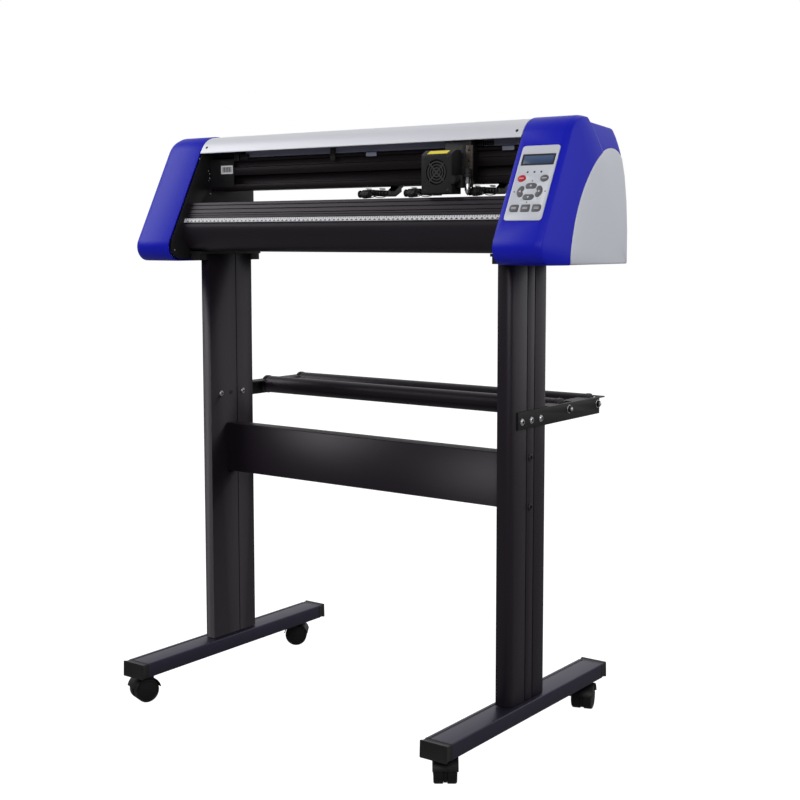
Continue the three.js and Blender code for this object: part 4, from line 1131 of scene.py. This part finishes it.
def studioPaper():
    # white paper that stays bright to the eye and adds little light of its own
    material = newMaterial("studioPaper", {"colour": (0.25, 0.25, 0.25), "shade": (0.24, 0.24, 0.24),
                                           "rough": (0.7, 0.8), "bump": 0.02, "specular": 0})
    nodes, links = material.node_tree.nodes, material.node_tree.links
    path = addNode(nodes, "LightPath")
    level = addNode(nodes, "MapRange", {"To Min": studio["paperLight"], "To Max": studio["paperGlow"]})
    links.new(path.outputs["Is Camera Ray"], level.inputs["Value"])
    shader = nodes["Principled BSDF"]
    shader.inputs["Emission Color"].default_value = (1, 1, 1, 1)
    links.new(level.outputs["Result"], shader.inputs["Emission Strength"])
    return material


def buildStage():
    bm = bmesh.new()
    bmesh.ops.create_grid(bm, x_segments=2, y_segments=2, size=9)
    mesh = bpy.data.meshes.new("studio_floor")
    bm.to_mesh(mesh)
    bm.free()
    floor = bpy.data.objects.new("studio_floor", mesh)
    scene.collection.objects.link(floor)
    mesh.materials.append(studioPaper())
    world = bpy.data.worlds.new("studio")
    scene.world = world
    world.use_nodes = True
    nodes, links = world.node_tree.nodes, world.node_tree.links
    nodes["Background"].inputs["Color"].default_value = (1, 1, 1, 1)
    place = addNode(nodes, "TexCoord")
    split = addNode(nodes, "SeparateXYZ")
    links.new(place.outputs["Generated"], split.inputs["Vector"])
    depth = addNode(nodes, "MapRange", {"From Min": -0.35, "From Max": 0.9, "To Min": studio["ahead"],
                                        "To Max": studio["behind"]})
    links.new(split.outputs["Y"], depth.inputs["Value"])
    path = addNode(nodes, "LightPath")
    level = addNode(nodes, "Mix")
    level.inputs["B"].default_value = 1.0
    links.new(path.outputs["Is Camera Ray"], level.inputs["Factor"])
    links.new(depth.outputs["Result"], level.inputs["A"])
    links.new(level.outputs["Result"], nodes["Background"].inputs["Strength"])


def addLamp(name, place, target, size, power):
    data = bpy.data.lights.new(name, "AREA")
    data.shape = "RECTANGLE"
    data.size, data.size_y = size
    data.energy = power
    lamp = bpy.data.objects.new(name, data)
    lamp.location = place
    lamp.rotation_euler = (Vector(target) - Vector(place)).to_track_quat("-Z", "Y").to_euler()
    scene.collection.objects.link(lamp)


def buildCamera():
    camera = bpy.data.cameras.new("camera")
    camera.lens = 60.7
    camera.sensor_width = 36
    camera.shift_x = -0.0166
    camera.shift_y = -0.0436
    holder = bpy.data.objects.new("camera", camera)
    holder.location = (1.5213, -1.9407, 0.8666)
    holder.rotation_euler = (math.radians(84.66), 0, math.radians(35.97))
    scene.collection.objects.link(holder)
    scene.camera = holder


buildCamera()
buildStage()
addLamp("key", (-2.3, -1.1, 2.4), (-0.1, 0, 0.9), (1.6, 1.6), 34)
addLamp("front", (1.5, -3.0, 2.5), (0, 0, 0.7), (2.6, 1.8), 66)
addLamp("side", (3.0, 0.6, 1.7), (0.3, 0, 0.8), (1.6, 1.6), 13)
scene.view_settings.view_transform = "Standard"
print("stage ready")

buildColumns()
buildFeet()
buildCasters()
buildMediaRollers()
buildRollerBrackets()
for side in ("left", "right"):
    refined(side + "_head_bracket", "blackSteel")
print("stand ready")
buildEndCovers()
buildSidePanels()
buildControlPanel()
buildSidePlates()
buildTopCover()
buildBeam()
buildPlaten()
buildRuler()
buildDrive()
buildRearModule()
print("head ready")
buildPinchUnits()
buildCarriage()
print("carriage ready")
